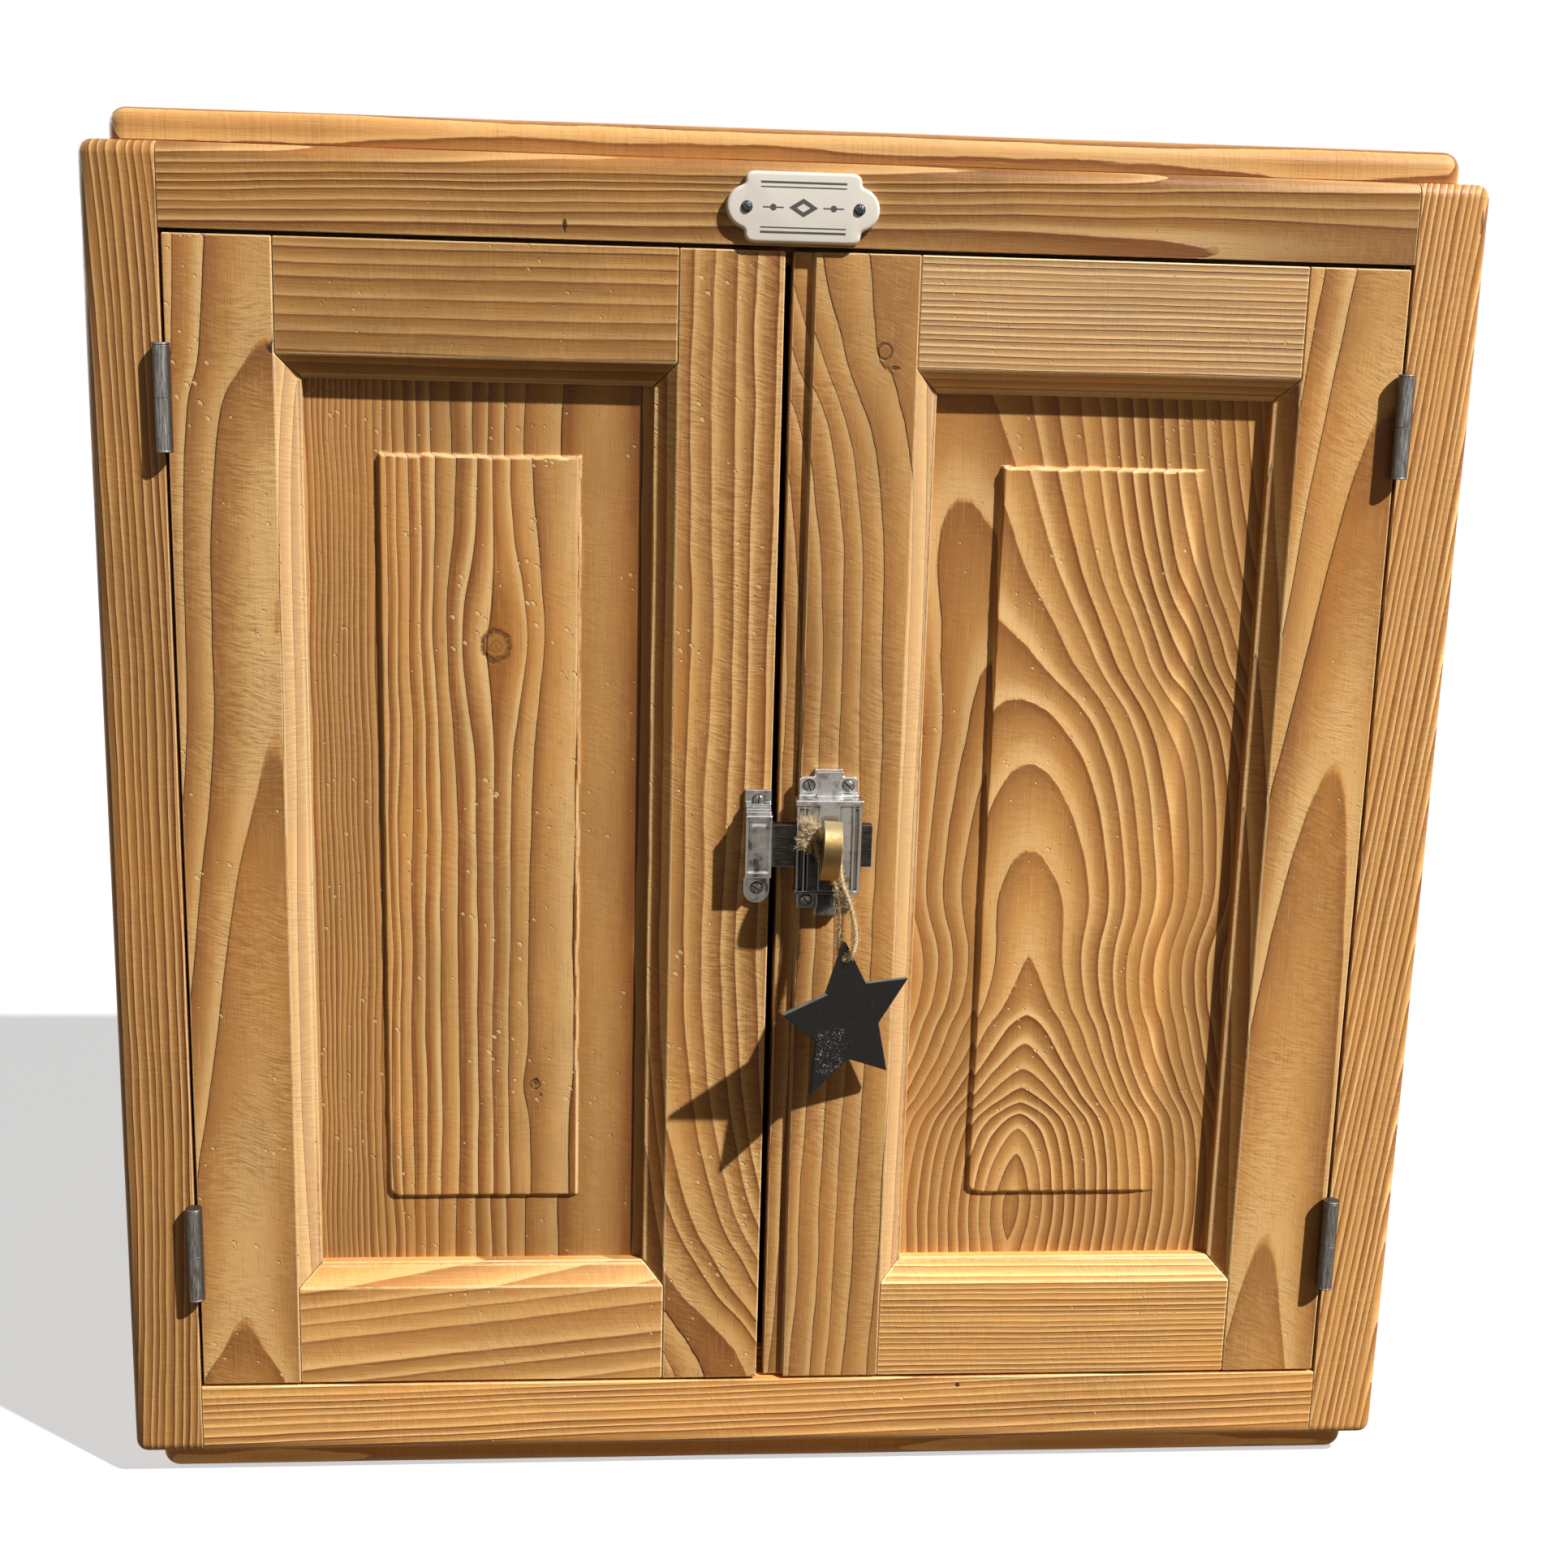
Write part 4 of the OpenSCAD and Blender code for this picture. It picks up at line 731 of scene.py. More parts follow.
def from_bmesh(name, bm, finish):
    mesh = bpy.data.meshes.new(name)
    bmesh.ops.recalc_face_normals(bm, faces=bm.faces)
    bm.to_mesh(mesh)
    bm.free()
    return new_piece(name, mesh, finish)


def bake_modifiers(piece):
    """Turn a piece and its modifiers into a plain mesh."""
    graph = bpy.context.evaluated_depsgraph_get()
    mesh = bpy.data.meshes.new_from_object(piece.evaluated_get(graph), depsgraph=graph)
    piece.modifiers.clear()
    piece.data = mesh
    return piece


def ease(piece, width, segments=3, angle=30, worn=False):
    """Break a piece's sharp edges and smooth its faces; worn marks the new faces, which the wood's finish
    paints pale as worn edges and painted highlight.
    """
    bevel = piece.modifiers.new("arris", "BEVEL")
    bevel.width = width
    bevel.segments = segments
    bevel.limit_method = "ANGLE"
    bevel.angle_limit = math.radians(angle)
    bevel.use_clamp_overlap = True
    if worn:
        piece.data.materials.append(None)
        bevel.material = 1
    bake_modifiers(piece)
    if worn:
        marks = piece.data.attributes.new("worn", "FLOAT", "FACE")
        for poly, mark in zip(piece.data.polygons, marks.data):
            mark.value = poly.material_index
            poly.material_index = 0
        piece.data.materials.pop(index=1)
    piece.data.shade_smooth()
    even = piece.modifiers.new("even", "WEIGHTED_NORMAL")
    even.keep_sharp = True
    even.weight = 80
    return bake_modifiers(piece)


def settle(piece, node):
    """Let a piece stand for a CAD node."""
    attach(piece, BODY_OF[node])
    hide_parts(node)
    return piece


def new_tree(name, inputs):
    """Start a tree of geometry nodes: gives its graph, its inputs' keys and its input node."""
    tree = bpy.data.node_groups.new(name, "GeometryNodeTree")
    tree.interface.new_socket("Geometry", in_out="INPUT", socket_type="NodeSocketGeometry")
    keys = {}
    for label, kind in inputs:
        socket = tree.interface.new_socket(label, in_out="INPUT", socket_type="NodeSocket" + kind)
        keys[label] = socket.identifier
    tree.interface.new_socket("Geometry", in_out="OUTPUT", socket_type="NodeSocketGeometry")
    graph = Graph(tree)
    return graph, keys, graph.node("NodeGroupInput")


def grow(piece, tree, keys, values):
    """Run a tree of geometry nodes on a piece, and keep what it makes as the piece's mesh."""
    grown = piece.modifiers.new("grown", "NODES")
    grown.node_group = tree
    for label, value in values.items():
        grown[keys[label]] = value
    return bake_modifiers(piece)


def solid_of(node):
    """Copy a CAD node's solid with its flat faces made whole."""
    source = frame["nodes"][node]
    bm = bmesh.new()
    bm.from_mesh(source.data)
    bmesh.ops.remove_doubles(bm, verts=bm.verts, dist=2e-6)
    bmesh.ops.dissolve_limit(bm, angle_limit=math.radians(1), verts=bm.verts, edges=bm.edges)
    return bm


def eased_node(node, finish, width, segments=3):
    """Stand a copy of a CAD node in its place, with its edges broken."""
    piece = from_bmesh(node + "_dressed", solid_of(node), finish)
    ease(piece, width, segments)
    return settle(piece, node)


def put_in_order(bm):
    """Rebuild a bmesh with its points in order of place and its faces in order of their points.

    Cuts leave the faces in an order that isn't the same in each run.
    """
    bm.verts.index_update()
    points = [vert.co.copy() for vert in bm.verts]
    order = sorted(range(len(points)), key=lambda i: tuple(points[i]))
    rank = {old: new for new, old in enumerate(order)}
    rings = []
    for face in bm.faces:
        ring = [rank[vert.index] for vert in face.verts]
        start = ring.index(min(ring))
        rings.append(ring[start:] + ring[:start])
    bm.clear()
    spots = [bm.verts.new(points[i]) for i in order]
    for ring in sorted(rings):
        bm.faces.new([spots[i] for i in ring])


def waver(bm, amount, scale, along, step):
    """Cut a board across its length and move it inwards by a little, as hand work leaves it."""
    axis = Vector((0, 0, 0))
    axis[along] = 1
    reach = [v.co[along] for v in bm.verts]
    count = int((max(reach) - min(reach)) / (step * MM))
    for i in range(1, count):
        spot = axis * (min(reach) + (max(reach) - min(reach)) * i / count)
        geometry = list(bm.verts) + list(bm.edges) + list(bm.faces)
        bmesh.ops.bisect_plane(bm, geom=geometry, dist=1e-7, plane_co=spot, plane_no=axis)
    put_in_order(bm)
    bm.normal_update()
    for vert in bm.verts:
        push = 0.5 + 0.5 * noise.noise(vert.co / scale)
        vert.co -= vert.normal * (push * amount)


def circle_tube(path, radius, sides, strands=0, pitch=5.0, closed=False, taper=0):
    """Points and faces of a tube along a path; strands twist it like twine."""
    count = len(path)
    points = []
    side = Vector((0.3, 1, 0.1))
    run = 0.0
    for i, spot in enumerate(path):
        before = path[i - 1] if i or closed else path[0]
        after = path[(i + 1) % count] if i < count - 1 or closed else path[-1]
        way = (after - before).normalized()
        side = (side - way * side.dot(way)).normalized()
        other = way.cross(side)
        run += (spot - path[i - 1]).length if i else 0
        end = min(i, count - 1 - i)
        size = radius * (min(1, 0.35 + end / taper) if taper else 1)
        for k in range(sides):
            angle = 2 * math.pi * k / sides
            swell = 1.0
            if strands:
                swell = 0.8 + 0.2 * abs(math.cos(strands / 2 * (angle - 2 * math.pi * run / pitch)))
            points.append(spot + (side * math.cos(angle) + other * math.sin(angle)) * size * swell)
    faces = []
    for i in range(count if closed else count - 1):
        j = (i + 1) % count
        for k in range(sides):
            m = (k + 1) % sides
            faces.append((i * sides + k, j * sides + k, j * sides + m, i * sides + m))
    if not closed:
        faces.append(tuple(range(sides)))
        faces.append(tuple((count - 1) * sides + k for k in range(sides)))
    return points, faces


def twisted(path, out, pitch, start):
    """A strand's path, wound about another path like one ply of a twine."""
    spots = []
    side = Vector((0.3, 1, 0.1))
    run = 0.0
    for i, spot in enumerate(path):
        way = (path[min(i + 1, len(path) - 1)] - path[max(i - 1, 0)]).normalized()
        side = (side - way * side.dot(way)).normalized()
        run += (spot - path[i - 1]).length if i else 0
        angle = start + 2 * math.pi * run / pitch
        spots.append(spot + (side * math.cos(angle) + way.cross(side) * math.sin(angle)) * out)
    return spots


def smooth_path(points, step):
    """Carry a smooth curve through some points, with a spot every step."""
    spots = []
    last = len(points) - 1
    for i in range(last):
        a, b = points[max(i - 1, 0)], points[i]
        c, d = points[i + 1], points[min(i + 2, last)]
        parts = max(1, round((c - b).length / step))
        for j in range(parts):
            t = j / parts
            spots.append(0.5 * (2 * b + (c - a) * t + (2 * a - 5 * b + 4 * c - d) * t * t
                                + (3 * b - a - 3 * c + d) * t ** 3))
    return spots + [points[-1]]


def add_mesh(points, faces, to_points, to_faces):
    shift = len(to_points)
    to_points.extend(points)
    to_faces.extend(tuple(i + shift for i in face) for face in faces)


# Stage

CAMERA_PLACE = Vector((-88.2, -1199.4, 628.7))
CAMERA_RIGHT = Vector((0.99665, -0.07712, 0.02731))
CAMERA_UP = Vector((-0.00941, 0.22360, 0.97464))
CAMERA_AHEAD = Vector((0.08127, 0.97163, -0.22212))
CAMERA_LENS = 47.896
CAMERA_SENSOR = 36
LIGHT_WAY = Vector((1.2, -1.0, 1.6))
REAR_WAY = Vector((-1.0, 1.2, 0.15))
REAR_SIZE = math.radians(30)
FLOOR_HALF = 9000


class CUPBOARD_OT_stage(bpy.types.Operator):
    """Set up the camera, the sun, the light from all round and a pale floor"""
    bl_idname = "cupboard.stage"
    bl_label = "Stage"

    def execute(self, context):
        stage = chosen("stage")
        scene = context.scene
        camera = bpy.data.objects.new("camera", bpy.data.cameras.new("camera"))
        camera.data.lens = CAMERA_LENS
        camera.data.sensor_width = CAMERA_SENSOR
        camera.data.clip_end = 100
        turn = Matrix((CAMERA_RIGHT, CAMERA_UP, -CAMERA_AHEAD)).transposed().to_4x4()
        camera.matrix_world = Matrix.Translation(CAMERA_PLACE * MM) @ turn
        scene.collection.objects.link(camera)
        scene.camera = camera
        self.add_sun(scene, "sun", stage.sun, stage.sun_size, LIGHT_WAY)
        self.add_sun(scene, "rear_light", stage.rear, REAR_SIZE, REAR_WAY)
        scene.view_settings.view_transform = "Standard"
        self.make_sky(scene, stage)
        self.make_floor(stage)
        return {"FINISHED"}

    def add_sun(self, scene, name, strength, size, way):
        """Add a far lamp that shines from a given way."""
        sun = bpy.data.objects.new(name, bpy.data.lights.new(name, "SUN"))
        sun.data.energy = strength
        sun.data.angle = size
        sun.rotation_mode = "QUATERNION"
        sun.rotation_quaternion = way.to_track_quat("Z", "Y")
        scene.collection.objects.link(sun)

    def make_sky(self, scene, stage):
        """Light the cupboard softly, and show white to the camera and in reflections."""
        world = bpy.data.worlds.new("sky")
        world.use_nodes = True
        world.node_tree.nodes.clear()
        graph = Graph(world.node_tree)
        rays = graph.node("ShaderNodeLightPath", out="Is Camera Ray")
        mirrored = rays.out("Is Glossy Ray").math("MAXIMUM", rays.out("Is Transmission Ray"))
        seen = rays.math("MAXIMUM", mirrored)
        soft = graph.node("ShaderNodeBackground", None, {"Color": (1, 0.9, 0.7, 1), "Strength": stage.sky})
        white = graph.node("ShaderNodeBackground", None, {"Color": (1, 1, 1, 1), "Strength": 1.0})
        both = graph.node("ShaderNodeMixShader", None, (seen, soft, white))
        graph.node("ShaderNodeOutputWorld", None, {"Surface": both})
        scene.world = world

    def make_floor(self, stage):
        """Lay a floor that is almost white to the camera and keeps the cupboard's shadow."""
        fin = Finish("floor")
        rays = fin.node("ShaderNodeLightPath", out="Is Camera Ray")
        shown = fin.mix(rays, linear("625440"), tuple(stage.floor))
        matt = fin.node("ShaderNodeBsdfDiffuse", None, {"Color": shown})
        white = fin.node("ShaderNodeEmission", None, {"Color": (1, 1, 1, 1), "Strength": 1.0})
        mirrored = rays.out("Is Glossy Ray").math("MAXIMUM", rays.out("Is Transmission Ray"))
        both = fin.node("ShaderNodeMixShader", None, (rays * 0.6 + mirrored * 0.25, matt, white))
        fin.node("ShaderNodeOutputMaterial", None, {"Surface": both})
        corners = [(x * FLOOR_HALF, y * FLOOR_HALF, 0) for x, y in ((-1, -1), (1, -1), (1, 1), (-1, 1))]
        floor = from_lists("floor", corners, [(0, 1, 2, 3)], fin.material)


# Tag: the twine, its knot and the star

# The twine's middle line, as places for from_neck
TWINE_ROUTE = [
    (-7.4, 17, 7.8), (-4.2, 17, 6.2), (-0.8, 17, 4.9), (2.8, 17, 4), (4.8, 17, 1.2), (5.4, 17, -3),
    (5.8, 17, -7.9), (6.2, 17.4, -12.9), (7.2, 18.2, -17.9), (9, 19.6, -22.6), (11, 21.4, -27.6),
    (12.4, 23.2, -32.8), (13.4, 25.2, -38.2), (13.8, 27.4, -43.6), (13.2, 29.4, -48.2),
    (12.1, 29.9, -51.2), (10.6, 28.3, -53.2), (8.8, 25.3, -53.9), (7.2, 22.6, -53.1),
    (6.3, 20.9, -50.6), (6.2, 20.2, -46.6), (6.4, 19.6, -41.6), (6.6, 19, -36.4), (6.4, 18, -31),
    (5.6, 17.2, -25.6), (4, 17, -20.4), (2, 17, -15.6), (-0.6, 17, -11.2), (-3.6, 17, -7.2),
    (-5.9, 17, -2.8), (-7.4, 17, 2), (-8.4, 17, 7),
]
# Its plies: how far their middles lie from the twine's, their radius and the spacing of their rings
PLIES = 3
PLY_OUT = 0.54
PLY_R = 0.66
TWINE_STEP = 0.45
KNOT_PLACE = (-9, 16.8, 9)
KNOT_TAILS = [
    [(-11.5, 17, 8.5), (-13.4, 17.4, 6.2), (-14.0, 17.8, 3.0), (-13.0, 17.6, 0.4)],
    [(-9.5, 17.2, 6.0), (-10.6, 18.0, 3.0), (-10.2, 18.2, 0.2), (-9.4, 18.0, -1.6)],
    [(-8.0, 17.0, 11.5), (-9.8, 17.6, 13.8), (-12.2, 17.9, 14.4), (-14.2, 17.6, 13.6)],
]
# Loose fibres to a square metre, for each one of the settings' count
HAIR_DENSITY = 2800.0


def from_neck(across, out, up):
    """A place given across, out from the doors and up from the turn's neck."""
    return Vector((NECK.x + across, FRONT - out, NECK.z + up))


class CUPBOARD_OT_tag(bpy.types.Operator):
    """Hang the star on its twine from the turn's neck"""
    bl_idname = "cupboard.tag"
    bl_label = "Tag on twine"

    def execute(self, context):
        tag = chosen("tag")
        fibre = twine_fibre("jute_twine")
        route = [from_neck(*p) for p in TWINE_ROUTE]
        path = smooth_path(route, TWINE_STEP)
        points, faces = [], []
        for k in range(PLIES):
            ply = twisted(path, PLY_OUT, tag.pitch / MM, 2 * math.pi * k / PLIES)
            add_mesh(*circle_tube(ply, PLY_R, 8, taper=4), points, faces)
        twine = from_lists("twine_strands", points, faces, fibre)
        twine.data.shade_smooth()
        fuzz = self.grow_hairs(
            "twine_fuzz", twine, fibre, tag.fuzz, length=2.4, slimness=0.028, seed=11, comb=0.0)
        frayed = twine_fibre("jute_frayed", 0.95)
        knot = self.make_knot(frayed)
        tuft = self.grow_hairs(
            "knot_tuft", knot, frayed, tag.hairs, length=4.4, slimness=0.022, seed=7, comb=0.66)
        eased_node("star_tag", star_paint("star_black"), 0.5 * MM, 2)
        settle(twine, "twine")
        length = sum((b - a).length for a, b in zip(path, path[1:]))
        tuple(path[0] * MM)
        [tuple(p * MM) for p in path]
        return {"FINISHED"}

    def make_knot(self, fibre):
        """Tie a small overhand knot with three short tails."""
        middle = from_neck(*KNOT_PLACE)
        points, faces = [], []
        turns = []
        for i in range(120):
            t = 2 * math.pi * i / 120
            across = (math.sin(t) + 2 * math.sin(2 * t)) * 1.02
            up = (math.cos(t) - 2 * math.cos(2 * t)) * 1.0
            turns.append(middle + Vector((across, math.sin(3 * t) * 0.9, up)))
        add_mesh(*circle_tube(turns, 0.95, 12, PLIES, closed=True), points, faces)
        for tail in KNOT_TAILS:
            curve = smooth_path([from_neck(*p) for p in tail], TWINE_STEP)
            add_mesh(*circle_tube(curve, 0.85, 12, PLIES, taper=5), points, faces)
        knot = from_lists("twine_knot_tied", points, faces, fibre)
        knot.data.shade_smooth()
        return settle(knot, "twine_knot")

    def grow_hairs(self, piece_name, source, fibre, count, length, slimness, seed, comb):
        """Grow loose fibres from a piece, combed to the left, as a piece of their own.

        slimness is a fibre's radius as a share of its length.
        """
        graph, keys, given = new_tree("loose_hairs", [
            ("Hairs", "Int"), ("Length", "Float"), ("Radius", "Float"), ("Comb", "Float"), ("Seed", "Int")])
        chance = given.out("Seed")
        scattered = graph.node("GeometryNodeDistributePointsOnFaces", None, {
            "Mesh": given.out("Geometry"), "Density": given.out("Hairs") * HAIR_DENSITY, "Seed": chance})
        stem = graph.node("GeometryNodeCurvePrimitiveBezierSegment", None, {
            "Resolution": 5, "Start": (0, 0, 0), "Start Handle": (0, 0, 0.4),
            "End Handle": (0.15, 0, 0.75), "End": (0.45, 0.1, 0.95)})
        round_cut = graph.node("GeometryNodeCurvePrimitiveCircle", None, {
            "Resolution": 4, "Radius": given.out("Radius")})
        hair = graph.node("GeometryNodeCurveToMesh", None, {
            "Curve": stem, "Profile Curve": round_cut, "Fill Caps": True})
        combed = graph.node("FunctionNodeAlignRotationToVector", {"axis": "Z"}, {
            "Rotation": scattered.out("Rotation"), "Factor": given.out("Comb"),
            "Vector": (-0.76, 0.05, 0.65)})
        spin = graph.node("FunctionNodeRandomValue", {"data_type": "FLOAT_VECTOR"}, {
            0: (-0.5, -0.5, -3.1), 1: (0.5, 0.5, 3.1), "Seed": chance}, 0)
        turned = graph.node("FunctionNodeRotateRotation", {"rotation_space": "LOCAL"}, {
            "Rotation": combed, "Rotate By": spin})
        size = graph.node("FunctionNodeRandomValue", {"data_type": "FLOAT"}, {
            2: 0.35, 3: 1.0, "Seed": chance}, 1)
        stood = graph.node("GeometryNodeInstanceOnPoints", None, {
            "Points": scattered, "Instance": hair, "Rotation": turned, "Scale": size * given.out("Length")})
        real = graph.node("GeometryNodeRealizeInstances", None, {"Geometry": stood})
        painted = graph.node("GeometryNodeSetMaterial", None, {"Geometry": real, "Material": fibre})
        graph.node("NodeGroupOutput", None, {"Geometry": painted})
        hairs = new_piece(piece_name, source.data.copy(), fibre)
        grow(hairs, graph.tree, keys, {
            "Hairs": count, "Length": length * MM, "Radius": slimness, "Comb": comb, "Seed": seed})
        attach(hairs, BODY_OF["twine"])
        return hairs


# Boards

# Radii: the top and base boards' front corners and showing edges, and the face frame's outer edges
CAP_CORNER = 9.6
CAP_ROUND = 8.8
FRAME_ROUND = 7
# The raised fields: how far they keep from the panels' edges, and each one's chance, its height at its
# foot and head, and how far its right side slopes
FIELD_MARGIN = 43
FIELD_CORNER = 6.0
FIELDS = {"left_panel": (3.1, 2.2, 3.2, 2.0), "right_panel": (8.7, 2.2, 4.0, 17)}
GRID_STEP = 2.4
GRID_FINE = 0.7


class CUPBOARD_OT_carcass(bpy.types.Operator):
    """Make the sides, back boards, shelf, cleats, stops and the two rounded boards"""
    bl_idname = "cupboard.carcass"
    bl_label = "Carcass"

    def execute(self, context):
        arris = chosen("wood").arris
        plain = ["left_side_panel", "right_side_panel", "back_board_left", "back_board_middle",
                 "back_board_right", "shelf", "shelf_cleat_left", "shelf_cleat_right",
                 "door_stop_top", "door_stop_bottom"]
        for node in plain:
            eased_node(node, board_finish(node), arris, 2)
        self.make_capping("top_board", top=True)
        self.make_capping("base_board", top=False)
        return {"FINISHED"}

    def make_capping(self, node, top):
        """Round a board's front corners, and then its front and end edges on the side that shows."""
        a, b = low(node) * MM, high(node) * MM
        bm = box_mesh(a, b)
        corners = [e for e in bm.edges if upright(e) and e.verts[0].co.y < a.y + 1e-5]
        bmesh.ops.bevel(bm, geom=corners, offset=CAP_CORNER * MM, segments=8, profile=0.5, affect="EDGES")
        level = b.z if top else a.z
        rim = [e for e in bm.edges if all(abs(v.co.z - level) < 1e-6 for v in e.verts)
               and not all(v.co.y > b.y - 1e-5 for v in e.verts)]
        bmesh.ops.bevel(bm, geom=rim, offset=CAP_ROUND * MM, segments=7, profile=0.5, affect="EDGES")
        waver(bm, 0.35 * MM, scale=0.06, along=0, step=26)
        piece = from_bmesh(node + "_dressed", bm, board_finish(node))
        ease(piece, 0.6 * MM, segments=2, angle=40)
        settle(piece, node)


def box_mesh(a, b):
    """A closed box between two corners."""
    bm = bmesh.new()
    bmesh.ops.create_cube(bm, size=1)
    for vert in bm.verts:
        vert.co = Vector([b[i] if vert.co[i] > 0 else a[i] for i in range(3)])
    return bm


def upright(edge):
    way = edge.verts[1].co - edge.verts[0].co
    return abs(way.z) > abs(way.x) + abs(way.y)


class CUPBOARD_OT_face_frame(bpy.types.Operator):
    """Make the two stiles and two rails of the face frame, worn round outside"""
    bl_idname = "cupboard.face_frame"
    bl_label = "Face frame"

    def execute(self, context):
        whole = (low("frame_stile_left") * MM, high("frame_stile_right") * MM)
        doorway = (high("frame_stile_left").x + JOINT_GAP) * MM
        for node in ("frame_stile_left", "frame_stile_right", "frame_rail_top", "frame_rail_bottom"):
            a, b = low(node) * MM, high(node) * MM
            if "rail" in node:
                a.x, b.x = doorway, -doorway
            bm = box_mesh(a, b)
            outer = []
            for edge in bm.edges:
                middle = (edge.verts[0].co + edge.verts[1].co) / 2
                hits = [abs(middle.x - whole[i].x) < 1e-5 for i in (0, 1)]
                hits += [abs(middle.z - whole[i].z) < 1e-5 for i in (0, 1)]
                hits.append(abs(middle.y - whole[0].y) < 1e-5)
                if sum(hits) >= 2:
                    outer.append(edge)
            bmesh.ops.bevel(
                bm, geom=outer, offset=FRAME_ROUND * MM, segments=7, profile=0.5, affect="EDGES")
            waver(bm, 0.25 * MM, scale=0.05, along=0 if "rail" in node else 2, step=24)
            piece = from_bmesh(node + "_dressed", bm, board_finish(node))
            ease(piece, 0.55 * MM, segments=2, angle=40, worn=True)
            settle(piece, node)
        return {"FINISHED"}


def member(node, length, face, outline, mitre, place):
    """One stile or rail with its sloped moulding, as one closed solid.

    outline is the outer edge from front to back, mitre is how far the moulding's mitres start from the
    ends, and place turns a spot (in from the outer edge, back from the face, along) into the scene's.
    """
    points, faces = [], []
    inner_edge = [(face, 0), (face + BEVEL - LIP_FLAT, LIP_DEPTH), (face + BEVEL, LIP_DEPTH + 0.1),
                  (face + BEVEL, DOOR_T)]

    def add(u, v, w):
        points.append(place(u, v, w))
        return len(points) - 1

    start = [add(u, v, 0) for u, v in outline]
    stop = [add(u, v, length) for u, v in outline]
    near = [add(u, v, mitre + u - face) for u, v in inner_edge]
    far = [add(u, v, length - mitre - u + face) for u, v in inner_edge]
    back = [add(face, DOOR_T, mitre), add(face, DOOR_T, length - mitre)]
    front_in = [near[0], far[0]]
    back_in = [back[0], near[-1], far[-1], back[1]]
    ends = [near[0], back[0], far[0], back[1]]
    if mitre:
        ends = [add(face, v, w) for w in (0, length) for v in (0, DOOR_T)]
        front_in = [ends[0]] + front_in + [ends[2]]
        back_in = [ends[1]] + back_in + [ends[3]]
        faces.append([ends[0], ends[1], back[0], near[0]])
        faces.append([ends[2], ends[3], back[1], far[0]])
    faces.append([start[0]] + front_in + [stop[0]])
    faces.append([start[-1]] + back_in + [stop[-1]])
    for i in range(len(inner_edge) - 1):
        faces.append([near[i], near[i + 1], far[i + 1], far[i]])
    faces.append([back[0]] + near[::-1])
    faces.append([back[1]] + far[::-1])
    faces.append(start + [ends[1], ends[0]])
    faces.append(stop + [ends[3], ends[2]])
    for i in range(len(outline) - 1):
        faces.append([start[i], start[i + 1], stop[i + 1], stop[i]])
    bm = bmesh.new()
    spots = [bm.verts.new(p * MM) for p in points]
    for entry in faces:
        bm.faces.new([spots[i] for i in entry])
    loose = [v for v in bm.verts if not v.link_faces]
    bmesh.ops.delete(bm, geom=loose, context="VERTS")
    bmesh.ops.recalc_face_normals(bm, faces=bm.faces)
    run = place(0, 0, 1) - place(0, 0, 0)
    waver(bm, 0.22 * MM, scale=0.045, along=0 if abs(run.x) > 0.5 else 2, step=20)
    piece = from_bmesh(node + "_dressed", bm, board_finish(node))
    ease(piece, chosen("wood").arris, angle=32, worn=True)
    return settle(piece, node)


def from_edge(x, way):
    """Give member() its places on a stile whose outer edge is at x and whose inner side lies that way."""
    return lambda u, v, w: Vector((x + way * u, FRONT + v, DOOR_Z0 + w))


class CUPBOARD_OT_doors(bpy.types.Operator):
    """Make the doors' stiles and rails with their mitred mouldings"""
    bl_idname = "cupboard.doors"
    bl_label = "Door members"

    def execute(self, context):
        height = DOOR_Z1 - DOOR_Z0
        plain = [(0, 0), (0, DOOR_T)]
        sloped = [(0, 0), (1.4, DOOR_T)]
        rebated = [(10.5, 0), (10.5, 3.5), (0, 3.5), (0, DOOR_T)]
        for side in ("left", "right"):
            outer, inner = side + "_hinge_stile", side + "_meeting_stile"
            left = min(low(outer).x, low(inner).x)
            right = max(high(outer).x, high(inner).x)
            meeting_face = high(inner).x - low(inner).x - BEVEL
            from_left, from_right = from_edge(left, 1), from_edge(right, -1)
            if side == "left":
                member(outer, height, STILE_FACE, plain, RAIL_FACE, from_left)
                member(inner, height, meeting_face, sloped, RAIL_FACE, from_right)
                x0, x1 = left + STILE_FACE, right - meeting_face
            else:
                member(outer, height, STILE_FACE, plain, RAIL_FACE, from_right)
                member(inner, height, meeting_face, rebated, RAIL_FACE, from_left)
                x0, x1 = left + meeting_face, right - STILE_FACE
            x0, x1 = x0 + JOINT_GAP, x1 - JOINT_GAP
            for rail, edge, way in (("_bottom_rail", DOOR_Z0, 1), ("_top_rail", DOOR_Z1, -1)):
                member(side + rail, x1 - x0, RAIL_FACE, plain, 0, lambda u, v, w: Vector((
                    x0 + w, FRONT + v + RAIL_SUNK * (1 - v / DOOR_T), edge + way * u)))
        return {"FINISHED"}


